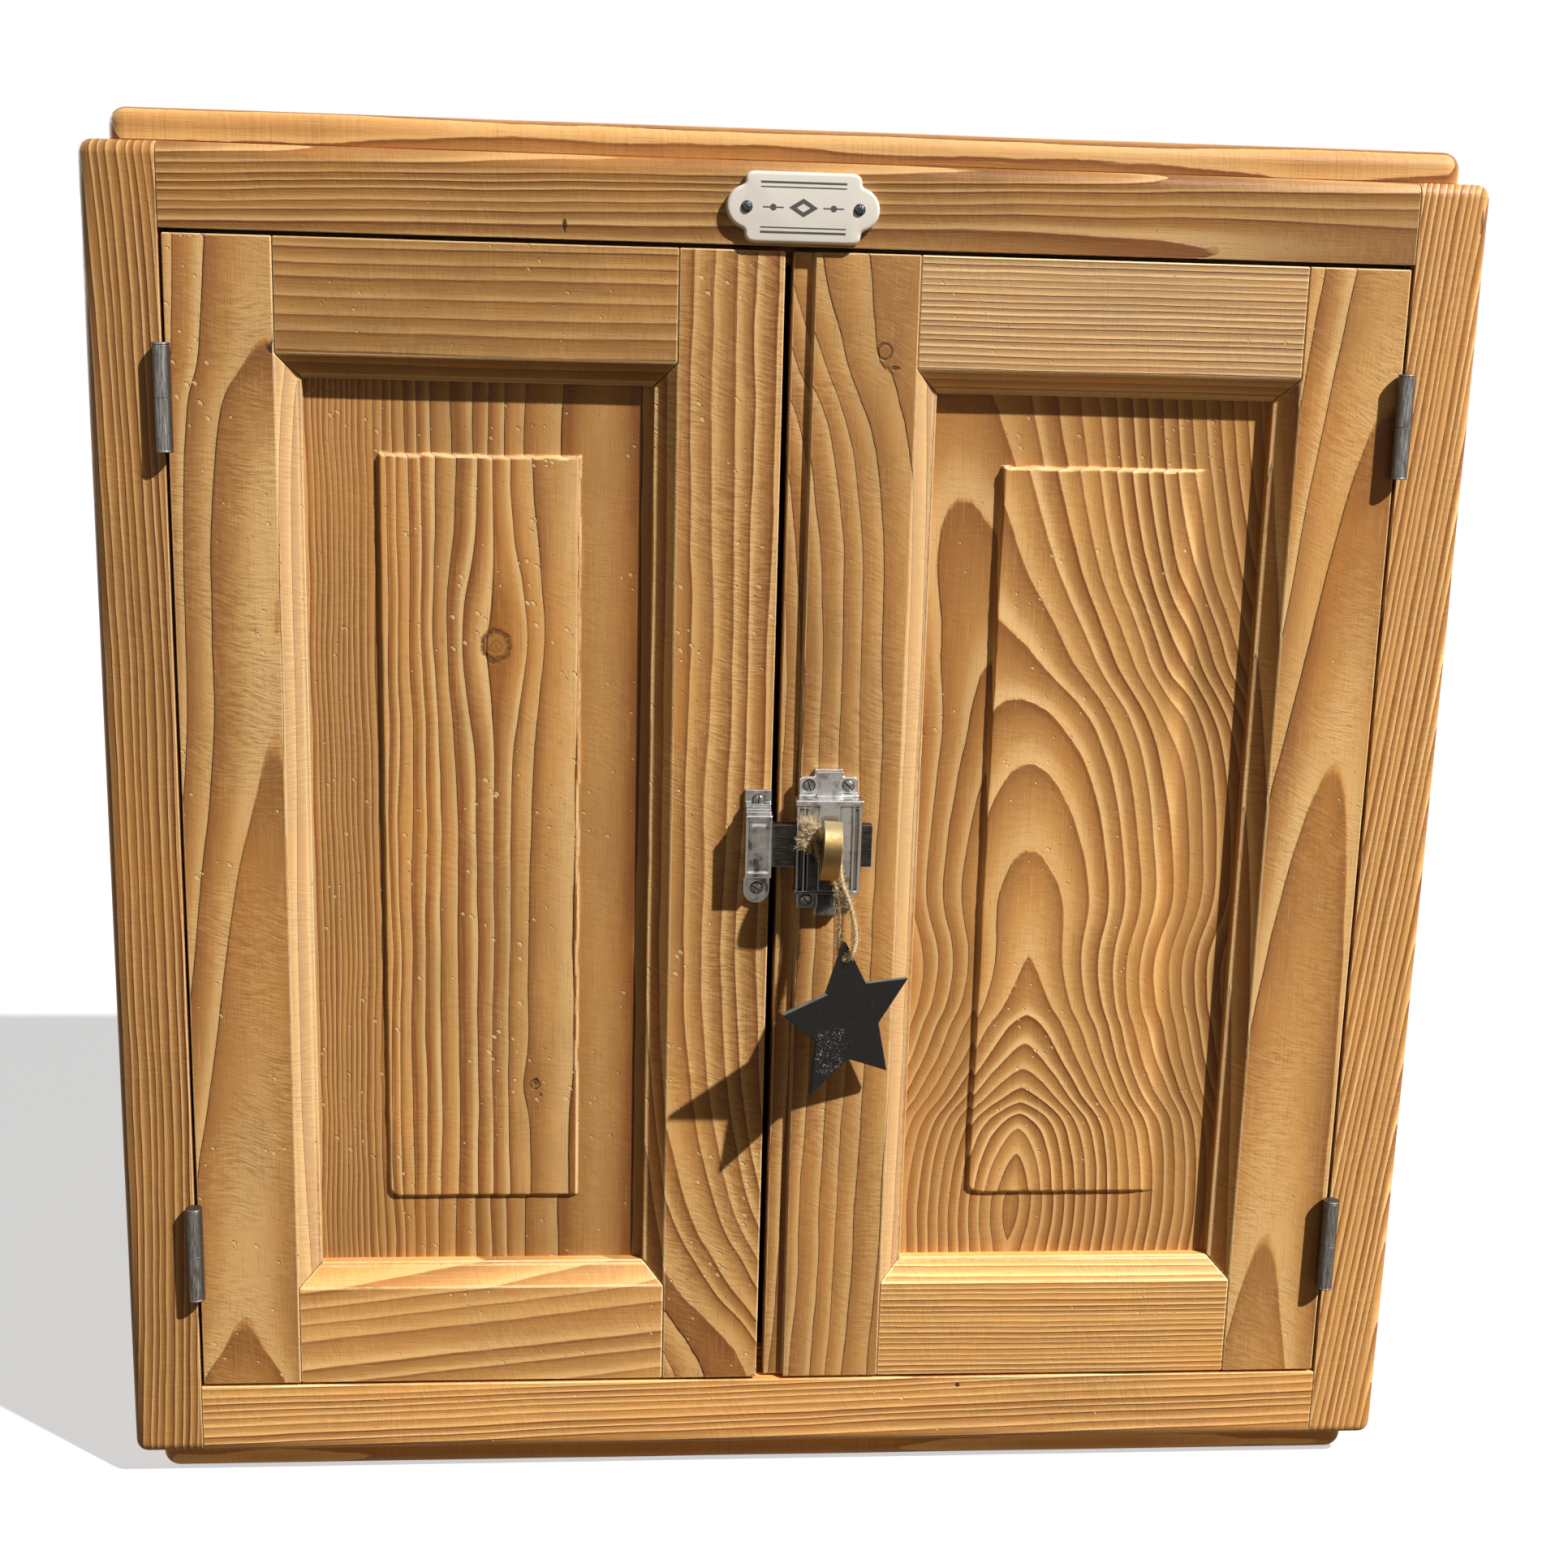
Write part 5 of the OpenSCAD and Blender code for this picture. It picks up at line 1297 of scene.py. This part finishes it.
class CUPBOARD_OT_panels(bpy.types.Operator):
    """Make the raised panels, with the field's ragged edges, painted pale as highlight where they face the
    light
    """
    bl_idname = "cupboard.panels"
    bl_label = "Raised panels"

    def execute(self, context):
        for node, field in FIELDS.items():
            self.make_panel(node, *field)
        return {"FINISHED"}

    def make_panel(self, node, seed, low_lift, high_lift, right_slope):
        """Lift a fine grid to the raised field's height, and close it at the back."""
        a, b = low(node), high(node)
        field = (a.x + FIELD_MARGIN, a.z + FIELD_MARGIN, b.x - FIELD_MARGIN, b.z - FIELD_MARGIN)

        def soften(gap, width):
            share = min(max(gap / width + 0.5, 0), 1)
            return share * share * (3 - 2 * share)

        def depth(x, z):
            wavy = noise.noise(Vector((x / 26, z / 26, seed)))
            torn = noise.noise(Vector((x / 5.5, z / 5.5, seed + 5)))
            finer = noise.noise(Vector((x / 2.2, z / 2.2, seed + 9)))
            top_gap = field[3] - z + 0.5 * wavy + 0.8 * torn + 0.5 * finer
            low_gap = z - field[1] + 0.4 * wavy + 0.5 * torn
            side_gap = x - field[0] + 0.3 * wavy + 0.15 * torn
            gap = min(low_gap, side_gap)
            if low_gap < FIELD_CORNER and side_gap < FIELD_CORNER:
                gap = FIELD_CORNER - math.hypot(FIELD_CORNER - low_gap, FIELD_CORNER - side_gap)
            right_gap = field[2] - x + 0.8 * wavy
            raised = min(soften(gap, 1.4), soften(top_gap, 1.5), soften(right_gap, right_slope),
                         soften(low_gap, 2.4))
            dip = 0.15 * noise.noise(Vector((x / 60, z / 90, seed + 2)))
            share = (z - field[1]) / (field[3] - field[1])
            lift = low_lift + (high_lift - low_lift) * min(max(share, 0), 1)
            return FIELD_BACK - lift * raised - dip - 0.15

        def lines(start, stop, edges):
            """Give the grid's lines, which lie closer where the field's edge runs."""
            rows = [start]
            while rows[-1] < stop - 1e-6:
                near = any(abs(rows[-1] - edge) < 6 for edge in edges)
                rows.append(min(stop, rows[-1] + (GRID_FINE if near else GRID_STEP)))
            return rows

        xs = lines(a.x, b.x, (field[0], field[2]))
        zs = lines(a.z, b.z, (field[1], field[3]))
        points = [(x, depth(x, z), z) for z in zs for x in xs]
        wide, tall = len(xs), len(zs)
        faces = [(j * wide + i, j * wide + i + 1, (j + 1) * wide + i + 1, (j + 1) * wide + i)
                 for j in range(tall - 1) for i in range(wide - 1)]
        rim = list(range(wide))
        rim += [j * wide + wide - 1 for j in range(1, tall)]
        rim += [(tall - 1) * wide + i for i in range(wide - 2, -1, -1)]
        rim += [j * wide for j in range(tall - 2, 0, -1)]
        shift = len(points)
        points += [(points[i][0], b.y, points[i][2]) for i in rim]
        count = len(rim)
        faces += [(rim[i], rim[(i + 1) % count], shift + (i + 1) % count, shift + i) for i in range(count)]
        faces.append(tuple(range(shift, shift + count)))
        piece = from_lists(node + "_dressed", points, faces, board_finish(node))
        piece.data.shade_smooth()
        piece.data.set_sharp_from_angle(angle=math.radians(60))
        # Mark the field's edges that face up or right, towards the light, for a painted highlight
        marks = piece.data.attributes.new("worn", "FLOAT", "FACE")
        for poly, mark in zip(piece.data.polygons, marks.data):
            lit = poly.normal.z > 0.2 or poly.normal.x > 0.6
            mark.value = min(max((0.93 - abs(poly.normal.y)) / 0.25, 0), 1) * lit
        settle(piece, node)


# Fittings


class CUPBOARD_OT_hinges(bpy.types.Operator):
    """Round the hinges' knuckles, leaves and capped pins"""
    bl_idname = "cupboard.hinges"
    bl_label = "Hinges"

    def execute(self, context):
        steel = dull_steel("dull_steel")
        cap_steel = dull_steel("cap_steel", 1.0)
        for place in ("upper_left", "lower_left", "upper_right", "lower_right"):
            eased_node("frame_leaf_" + place, steel, 0.35 * MM, 2)
            eased_node("door_leaf_" + place, steel, 0.35 * MM, 2)
            eased_node("hinge_pin_" + place, cap_steel, 0.3 * MM, 2)
        return {"FINISHED"}


def prism(x0, x1, p0, p1, z0, z1, top_in=0.0):
    """Points and faces of a block out from the doors' face, narrower at its front by top_in each side."""
    points = []
    for p, inset in ((p0, 0.0), (p1, top_in)):
        points += [(x0 + inset, FRONT - p, z0 + inset), (x1 - inset, FRONT - p, z0 + inset),
                   (x1 - inset, FRONT - p, z1 - inset), (x0 + inset, FRONT - p, z1 - inset)]
    faces = [(0, 1, 2, 3), (4, 5, 6, 7), (0, 1, 5, 4), (1, 2, 6, 5), (2, 3, 7, 6), (3, 0, 4, 7)]
    return [Vector(p) for p in points], faces


def extruded(outline, p0, p1):
    """Points and faces of an outline about the neck, given across and up, run out from p0 to p1."""
    points = [Vector((NECK.x + across, FRONT - p, NECK.z + up)) for p in (p0, p1) for across, up in outline]
    count = len(outline)
    faces = [tuple(range(count)), tuple(range(count, 2 * count))]
    faces += [(i, (i + 1) % count, (i + 1) % count + count, i + count) for i in range(count)]
    return points, faces


def about_neck(x0, x1, p0, p1, z0, z1, top_in=0.0):
    return prism(NECK.x + x0, NECK.x + x1, p0, p1, NECK.z + z0, NECK.z + z1, top_in)


def cast_piece(node, parts, finish, start=None):
    """Join overlapping blocks, and the mesh in start, into one rounded casting that stands for a CAD node."""
    bm = start or bmesh.new()
    for points, faces in parts:
        spots = [bm.verts.new(p * MM) for p in points]
        fresh = [bm.faces.new([spots[i] for i in face]) for face in faces]
        bmesh.ops.recalc_face_normals(bm, faces=fresh)
    mesh = bpy.data.meshes.new(node)
    bmesh.ops.triangulate(bm, faces=bm.faces)
    bm.to_mesh(mesh)
    bm.free()
    piece = new_piece(node + "_dressed", mesh, finish)
    remesh = piece.modifiers.new("casting", "REMESH")
    remesh.mode = "VOXEL"
    remesh.voxel_size = chosen("metal").voxel
    remesh.use_smooth_shade = True
    softened = piece.modifiers.new("worn", "SMOOTH")
    softened.factor = 0.5
    softened.iterations = 2
    bake_modifiers(piece)
    piece.data.materials.clear()
    piece.data.materials.append(finish)
    return settle(piece, node)


def saddle(rise, top, waist, foot, base):
    """Outline of the waisted block between two screws, from its foot at base up to rise."""
    right = []
    for i in range(13):
        t = i / 12
        up = base + (rise - base) * t
        bow = math.sin(math.pi * min(max((t - 0.05) / 0.8, 0), 1)) ** 0.8
        wide = foot + (top - foot) * t
        right.append((wide - (wide - waist) * bow, up))
    return right + [(-across, up) for across, up in reversed(right)]


class CUPBOARD_OT_latch(bpy.types.Operator):
    """Make the latch's foot plate, case, bolt and brass turn"""
    bl_idname = "cupboard.latch"
    bl_label = "Latch"

    def execute(self, context):
        zinc = cast_zinc("latch_zinc", turn_shadow=0.95)
        foot_zinc = cast_zinc("foot_zinc", dull=-0.15, turn_shadow=0.85, low_by=34, reach=22)
        channel = (high("bolt").z - low("bolt").z) / 2 + 0.3
        roof = 10.6
        # Each block from left to right, out from the doors and upwards, and how far its front narrows
        case = [
            about_neck(-16.6, 16.6, 2.9, 12.0, channel, 24.6),
            about_neck(-16.6, 16.6, 2.9, 12.0, -24.6, -channel),
            about_neck(-16.6, 16.6, roof, 12.0, -24.6, 24.6),
            about_neck(-11.4, 11.6, roof, 12.8, -24.6, 23, 0.5),
            about_neck(-6.2, 6.2, roof, 14.0, -24.0, 23, 0.9),
            about_neck(-16.6, -15.2, roof, 12.9, -24.0, 22),
            about_neck(-13.0, -12.0, roof, 13.0, -24.0, 22),
            about_neck(11.8, 13.2, roof, 13.8, -24.0, 22),
            about_neck(14.9, 16.6, roof, 13.5, -24.0, 22),
            about_neck(-17.5, 17.5, 5, 14.2, 21.6, 25.0, 0.2),
            about_neck(-17.0, 17.0, 5, 12.8, 19.8, 22.4, 0.4),
            about_neck(-17.2, 17.2, 5, 13.2, -25.0, -22.9, 0.2),
            extruded(saddle(38.4, 6.9, 4.9, 7.0, 24.0), 2.9, 7.2),
            extruded([(x, -up) for x, up in saddle(38.2, 5.6, 5.0, 6.6, 24.0)], 2.9, 5.8),
            about_neck(-15.5, 15.5, 2.9, 6.2, 24.0, 26.6, 0.3),
            about_neck(-15.5, 15.5, 2.9, 5.6, -26.6, -24.0, 0.3),
        ]
        cast_piece("latch_case", case, zinc)
        ears = [(-15, -35), (-6, -35), (-6, -38.8), (6, -38.8), (6, -35), (15, -35), (15, 33.4), (13.6, 34.8),
                (7.2, 34.8), (7.2, 38.8), (-7.2, 38.8), (-7.2, 34.8), (-13.6, 34.8), (-15, 33.4)]
        cast_piece("latch_foot_plate", [extruded(ears, 0, 3)], foot_zinc)
        dark = dark_bar("bolt_zinc")
        eased_node("bolt", dark, 0.5 * MM, 2)
        eased_node("turn_wheel", dark, 0.15 * MM, 1)
        eased_node("thumb_turn", worn_brass("brass_turn"), 0.6 * MM, 3)
        return {"FINISHED"}


class CUPBOARD_OT_keeper(bpy.types.Operator):
    """Make the keeper with its ledges and sunk panel"""
    bl_idname = "cupboard.keeper"
    bl_label = "Keeper"

    def execute(self, context):
        a, b = low("keeper"), high("keeper")
        top, foot = NECK.z + 16.5, NECK.z - 16.5
        parts = [
            prism(a.x, b.x, 0.2, 8.0, top - 1.5, top + 2.6, 0.3),
            prism(a.x, b.x, 0.2, 5.2, top + 1.5, top + 4.4, 0.3),
            prism(a.x, b.x, 0.2, 6.5, foot - 2.2, foot + 1.2, 0.3),
            prism(a.x + 3.1, b.x - 3.1, 12.2, 13.3, foot + 4.9, top - 4.9, 0.3),
        ]
        cast_piece("keeper", parts, cast_zinc("keeper_zinc", dull=0.42), solid_of("keeper"))
        return {"FINISHED"}


def screw_tree():
    """A screw on every point: a domed, slotted head on its shank, turned by chance about its own axis."""
    sizes = (
        "Head Radius", "Head Height", "Shank Radius", "Shank Length", "Slot Width", "Slot Depth", "Cross")
    graph, keys, given = new_tree("screws", [(name, "Float") for name in sizes] + [
        ("Seed", "Int"), ("Finish", "Material")])
    head_r, head_h = given.out("Head Radius"), given.out("Head Height")
    ball = graph.node("GeometryNodeMeshUVSphere", None, {"Segments": 32, "Rings": 16, "Radius": 1.0})
    scale = graph.node("ShaderNodeCombineXYZ", None, (head_r, head_r, head_h))
    dome = graph.node("GeometryNodeTransform", None, {"Geometry": ball, "Scale": scale})
    shank_len = given.out("Shank Length")
    shank = graph.node("GeometryNodeMeshCylinder", None, {
        "Vertices": 24, "Radius": given.out("Shank Radius"), "Depth": shank_len})
    sunk = graph.node("ShaderNodeCombineXYZ", None, (0.0, 0.0, shank_len * -0.5))
    shank = graph.node("GeometryNodeTransform", None, {"Geometry": shank, "Translation": sunk})

    def box(x, y, z, up):
        size = graph.node("ShaderNodeCombineXYZ", None, (x, y, z))
        cube = graph.node("GeometryNodeMeshCube", None, {"Size": size})
        lift = graph.node("ShaderNodeCombineXYZ", None, (0.0, 0.0, up))
        return graph.node("GeometryNodeTransform", None, {"Geometry": cube, "Translation": lift})

    under = box(head_r * 3, head_r * 3, head_h * 2, head_h * -1.0)
    slot_w, slot_d = given.out("Slot Width"), given.out("Slot Depth")
    cutter = 4 * MM
    slot_up = head_h - slot_d + cutter / 2
    slot = box(head_r * 3, slot_w, cutter, slot_up)
    cross = box(slot_w, head_r * given.out("Cross"), cutter, slot_up)

    def merged(operation, kept, *parts):
        settings = {"operation": operation, "solver": "EXACT"}
        node = graph.node("GeometryNodeMeshBoolean", settings, {0: kept})
        for part in parts:
            graph.tree.links.new(part.socket, node.socket.node.inputs[1])
        return node

    head = merged("DIFFERENCE", dome, under, slot, cross)
    joined = merged("UNION", None, head, shank)
    way = graph.node("GeometryNodeInputNamedAttribute", {"data_type": "FLOAT_VECTOR"}, {"Name": "facing"})
    aligned = graph.node("FunctionNodeAlignRotationToVector", {"axis": "Z"}, {"Vector": way})
    spin = graph.node("FunctionNodeRandomValue", {"data_type": "FLOAT"}, {
        2: 0.3, 3: 2.6, "Seed": given.out("Seed")}, 1)
    about = graph.node("FunctionNodeAxisAngleToRotation", None, {"Axis": (0, 0, 1), "Angle": spin})
    turned = graph.node("FunctionNodeRotateRotation", {"rotation_space": "LOCAL"}, {
        "Rotation": aligned, "Rotate By": about})
    stood = graph.node("GeometryNodeInstanceOnPoints", None, {
        "Points": given.out("Geometry"), "Instance": joined, "Rotation": turned})
    real = graph.node("GeometryNodeRealizeInstances", None, {"Geometry": stood})
    painted = graph.node("GeometryNodeSetMaterial", None, {"Geometry": real, "Material": given.out("Finish")})
    graph.node("NodeGroupOutput", None, {"Geometry": painted})
    return graph.tree, keys


class CUPBOARD_OT_screws(bpy.types.Operator):
    """Set the slotted screws of the latch, keeper and plate, and finish the hinges' screws"""
    bl_idname = "cupboard.screws"
    bl_label = "Screws"

    def execute(self, context):
        plate_y = low("name_plate").y
        latch_steel = screw_steel("latch_screw_steel", FRONT - 4.5)
        keeper_steel = screw_steel("keeper_screw_steel", FRONT - 4.0)
        hinge_steel = screw_steel("hinge_screw_steel", FRONT)
        blued = screw_steel("blued_steel", plate_y - 1.6, "4C545E", "22262C")
        tree, keys = screw_tree()
        x, z = NECK.x, NECK.z
        latch = [(x + side * 10.1, FRONT - 3, z + up) for side in (-1, 1) for up in (-30.6, 30.2)]
        keeper_x = (low("keeper").x + high("keeper").x) / 2
        keeper_z = [(high("keeper").z + z + 16.5) / 2, (low("keeper").z + z - 16.5) / 2]
        keeper = [(keeper_x, FRONT - 2.5, up) for up in keeper_z]
        plate_z = (low("name_plate").z + high("name_plate").z) / 2
        plate = [(side * 27.25, plate_y, plate_z) for side in (-1, 1)]
        # Head's radius and height, shank's radius, slot's width and depth, cross slot's length and seed
        rows = [
            ("latch_screws", latch, latch_steel, 3.3, 1.5, 1.5, 0.85, 0.8, 0.0, 3),
            ("keeper_screws", keeper, keeper_steel, 3.4, 1.5, 1.5, 0.85, 0.8, 0.0, 5),
            ("plate_screws", plate, blued, 2.8, 1.6, 1.3, 0.9, 0.7, 1.5, 8),
        ]
        for node, places, finish, head_r, head_h, shank_r, slot_w, slot_d, cross, seed in rows:
            mesh = bpy.data.meshes.new(node)
            mesh.from_pydata([Vector(p) * MM for p in places], [], [])
            facing = mesh.attributes.new("facing", "FLOAT_VECTOR", "POINT")
            for item in facing.data:
                item.vector = (0, -1, 0)
            piece = new_piece(node + "_dressed", mesh, finish)
            grow(piece, tree, keys, {
                "Head Radius": head_r * MM, "Head Height": head_h * MM, "Shank Radius": shank_r * MM,
                "Shank Length": 12 * MM, "Slot Width": slot_w * MM, "Slot Depth": slot_d * MM,
                "Cross": cross, "Seed": seed, "Finish": finish})
            piece.data.shade_smooth()
            piece.data.set_sharp_from_angle(angle=math.radians(40))
            settle(piece, node)
        for node in ("frame_hinge_screws", "left_hinge_screws", "right_hinge_screws"):
            frame["nodes"][node].data.materials.clear()
            frame["nodes"][node].data.materials.append(hinge_steel)
        return {"FINISHED"}


# The plate: its block's half width and corners, its ends' radius, and the spots round its outline
BLOCK_HALF = 28.25
BLOCK_CORNER = 4.0
END_R = 10.5
OUTLINE_SPOTS = 288


class CUPBOARD_OT_plate(bpy.types.Operator):
    """Make the enamel plate with its soft edge"""
    bl_idname = "cupboard.plate"
    bl_label = "Enamel plate"

    def execute(self, context):
        a, b = low("name_plate"), high("name_plate")
        middle = (a + b) / 2
        half_h = (b.z - a.z) / 2
        end_x = (b.x - a.x) / 2 - END_R
        count = OUTLINE_SPOTS
        reach = []
        for i in range(count):
            angle = 2 * math.pi * i / count
            way = (abs(math.cos(angle)), abs(math.sin(angle)))
            reach.append(max(self.block_reach(way, half_h), self.end_reach(way, end_x)))
        for _ in range(3):
            reach = [(reach[i - 1] + 2 * reach[i] + reach[(i + 1) % count]) / 4 for i in range(count)]
        outline = [Vector((r * math.cos(2 * math.pi * i / count), r * math.sin(2 * math.pi * i / count)))
                   for i, r in enumerate(reach)]
        inward = []
        for i, spot in enumerate(outline):
            way = outline[(i + 1) % count] - outline[i - 1]
            inward.append(Vector((-way.y, way.x)).normalized())
        edge = chosen("plate").edge / MM
        rings = [(0.0, b.y), (0.0, a.y + edge)]
        for k in range(1, 8):
            turn = math.pi / 2 * k / 7
            rings.append((edge * (1 - math.cos(turn)), a.y + edge * (1 - math.sin(turn))))
        points, faces = [], []
        for inset, y in rings:
            for spot, way in zip(outline, inward):
                points.append((middle.x + spot.x + way.x * inset, y, middle.z + spot.y + way.y * inset))
        for j in range(len(rings) - 1):
            for i in range(count):
                k = (i + 1) % count
                faces.append((j * count + i, j * count + k, (j + 1) * count + k, (j + 1) * count + i))
        faces.append(tuple(range(count)))
        faces.append(tuple(range((len(rings) - 1) * count, len(rings) * count)))
        piece = from_lists("name_plate_dressed", points, faces, enamel_finish("cream_enamel"))
        piece.data.shade_smooth()
        piece.data.set_sharp_from_angle(angle=math.radians(50))
        settle(piece, "name_plate")
        return {"FINISHED"}

    def block_reach(self, way, half_h):
        """Distance from the middle to the edge of the rounded middle block."""
        far = 0.0
        step = 40.0
        for _ in range(30):
            spot = (way[0] * (far + step), way[1] * (far + step))
            dx = max(spot[0] - BLOCK_HALF + BLOCK_CORNER, 0)
            dz = max(spot[1] - half_h + BLOCK_CORNER, 0)
            if math.hypot(dx, dz) <= BLOCK_CORNER:
                far += step
            step /= 2
        return far

    def end_reach(self, way, end_x):
        """Distance from the middle to the far side of a round end."""
        ahead = way[0] * end_x
        inside = ahead * ahead - end_x * end_x + END_R * END_R
        return ahead + math.sqrt(inside) if inside > 0 else 0.0


OPERATORS = [
    CUPBOARD_OT_stage,
    CUPBOARD_OT_tag,
    CUPBOARD_OT_carcass,
    CUPBOARD_OT_face_frame,
    CUPBOARD_OT_doors,
    CUPBOARD_OT_panels,
    CUPBOARD_OT_hinges,
    CUPBOARD_OT_latch,
    CUPBOARD_OT_keeper,
    CUPBOARD_OT_screws,
    CUPBOARD_OT_plate,
]


class CUPBOARD_PT_sidebar(bpy.types.Panel):
    """Settings and pieces of the pine cupboard"""
    bl_idname = "CUPBOARD_PT_sidebar"
    bl_label = "Pine cupboard"
    bl_space_type = "VIEW_3D"
    bl_region_type = "UI"
    bl_category = "Cupboard"

    def draw(self, context):
        for name, group in SETTINGS.items():
            box = self.layout.box()
            box.label(text=name.capitalize())
            for key in group.__annotations__:
                box.prop(chosen(name), key)
        for operator in OPERATORS:
            self.layout.operator(operator.bl_idname)


def register():
    for name, group in SETTINGS.items():
        bpy.utils.register_class(group)
        setattr(bpy.types.Scene, "cupboard_" + name, bpy.props.PointerProperty(type=group))
    for entry in OPERATORS + [CUPBOARD_PT_sidebar]:
        bpy.utils.register_class(entry)


def unregister():
    for entry in reversed(OPERATORS + [CUPBOARD_PT_sidebar]):
        bpy.utils.unregister_class(entry)
    for name, group in SETTINGS.items():
        delattr(bpy.types.Scene, "cupboard_" + name)
        bpy.utils.unregister_class(group)


def main():
    register()
    for operator in OPERATORS:
        family, name = operator.bl_idname.split(".")
        getattr(getattr(bpy.ops, family), name)()


if __name__ == "__main__":
    main()
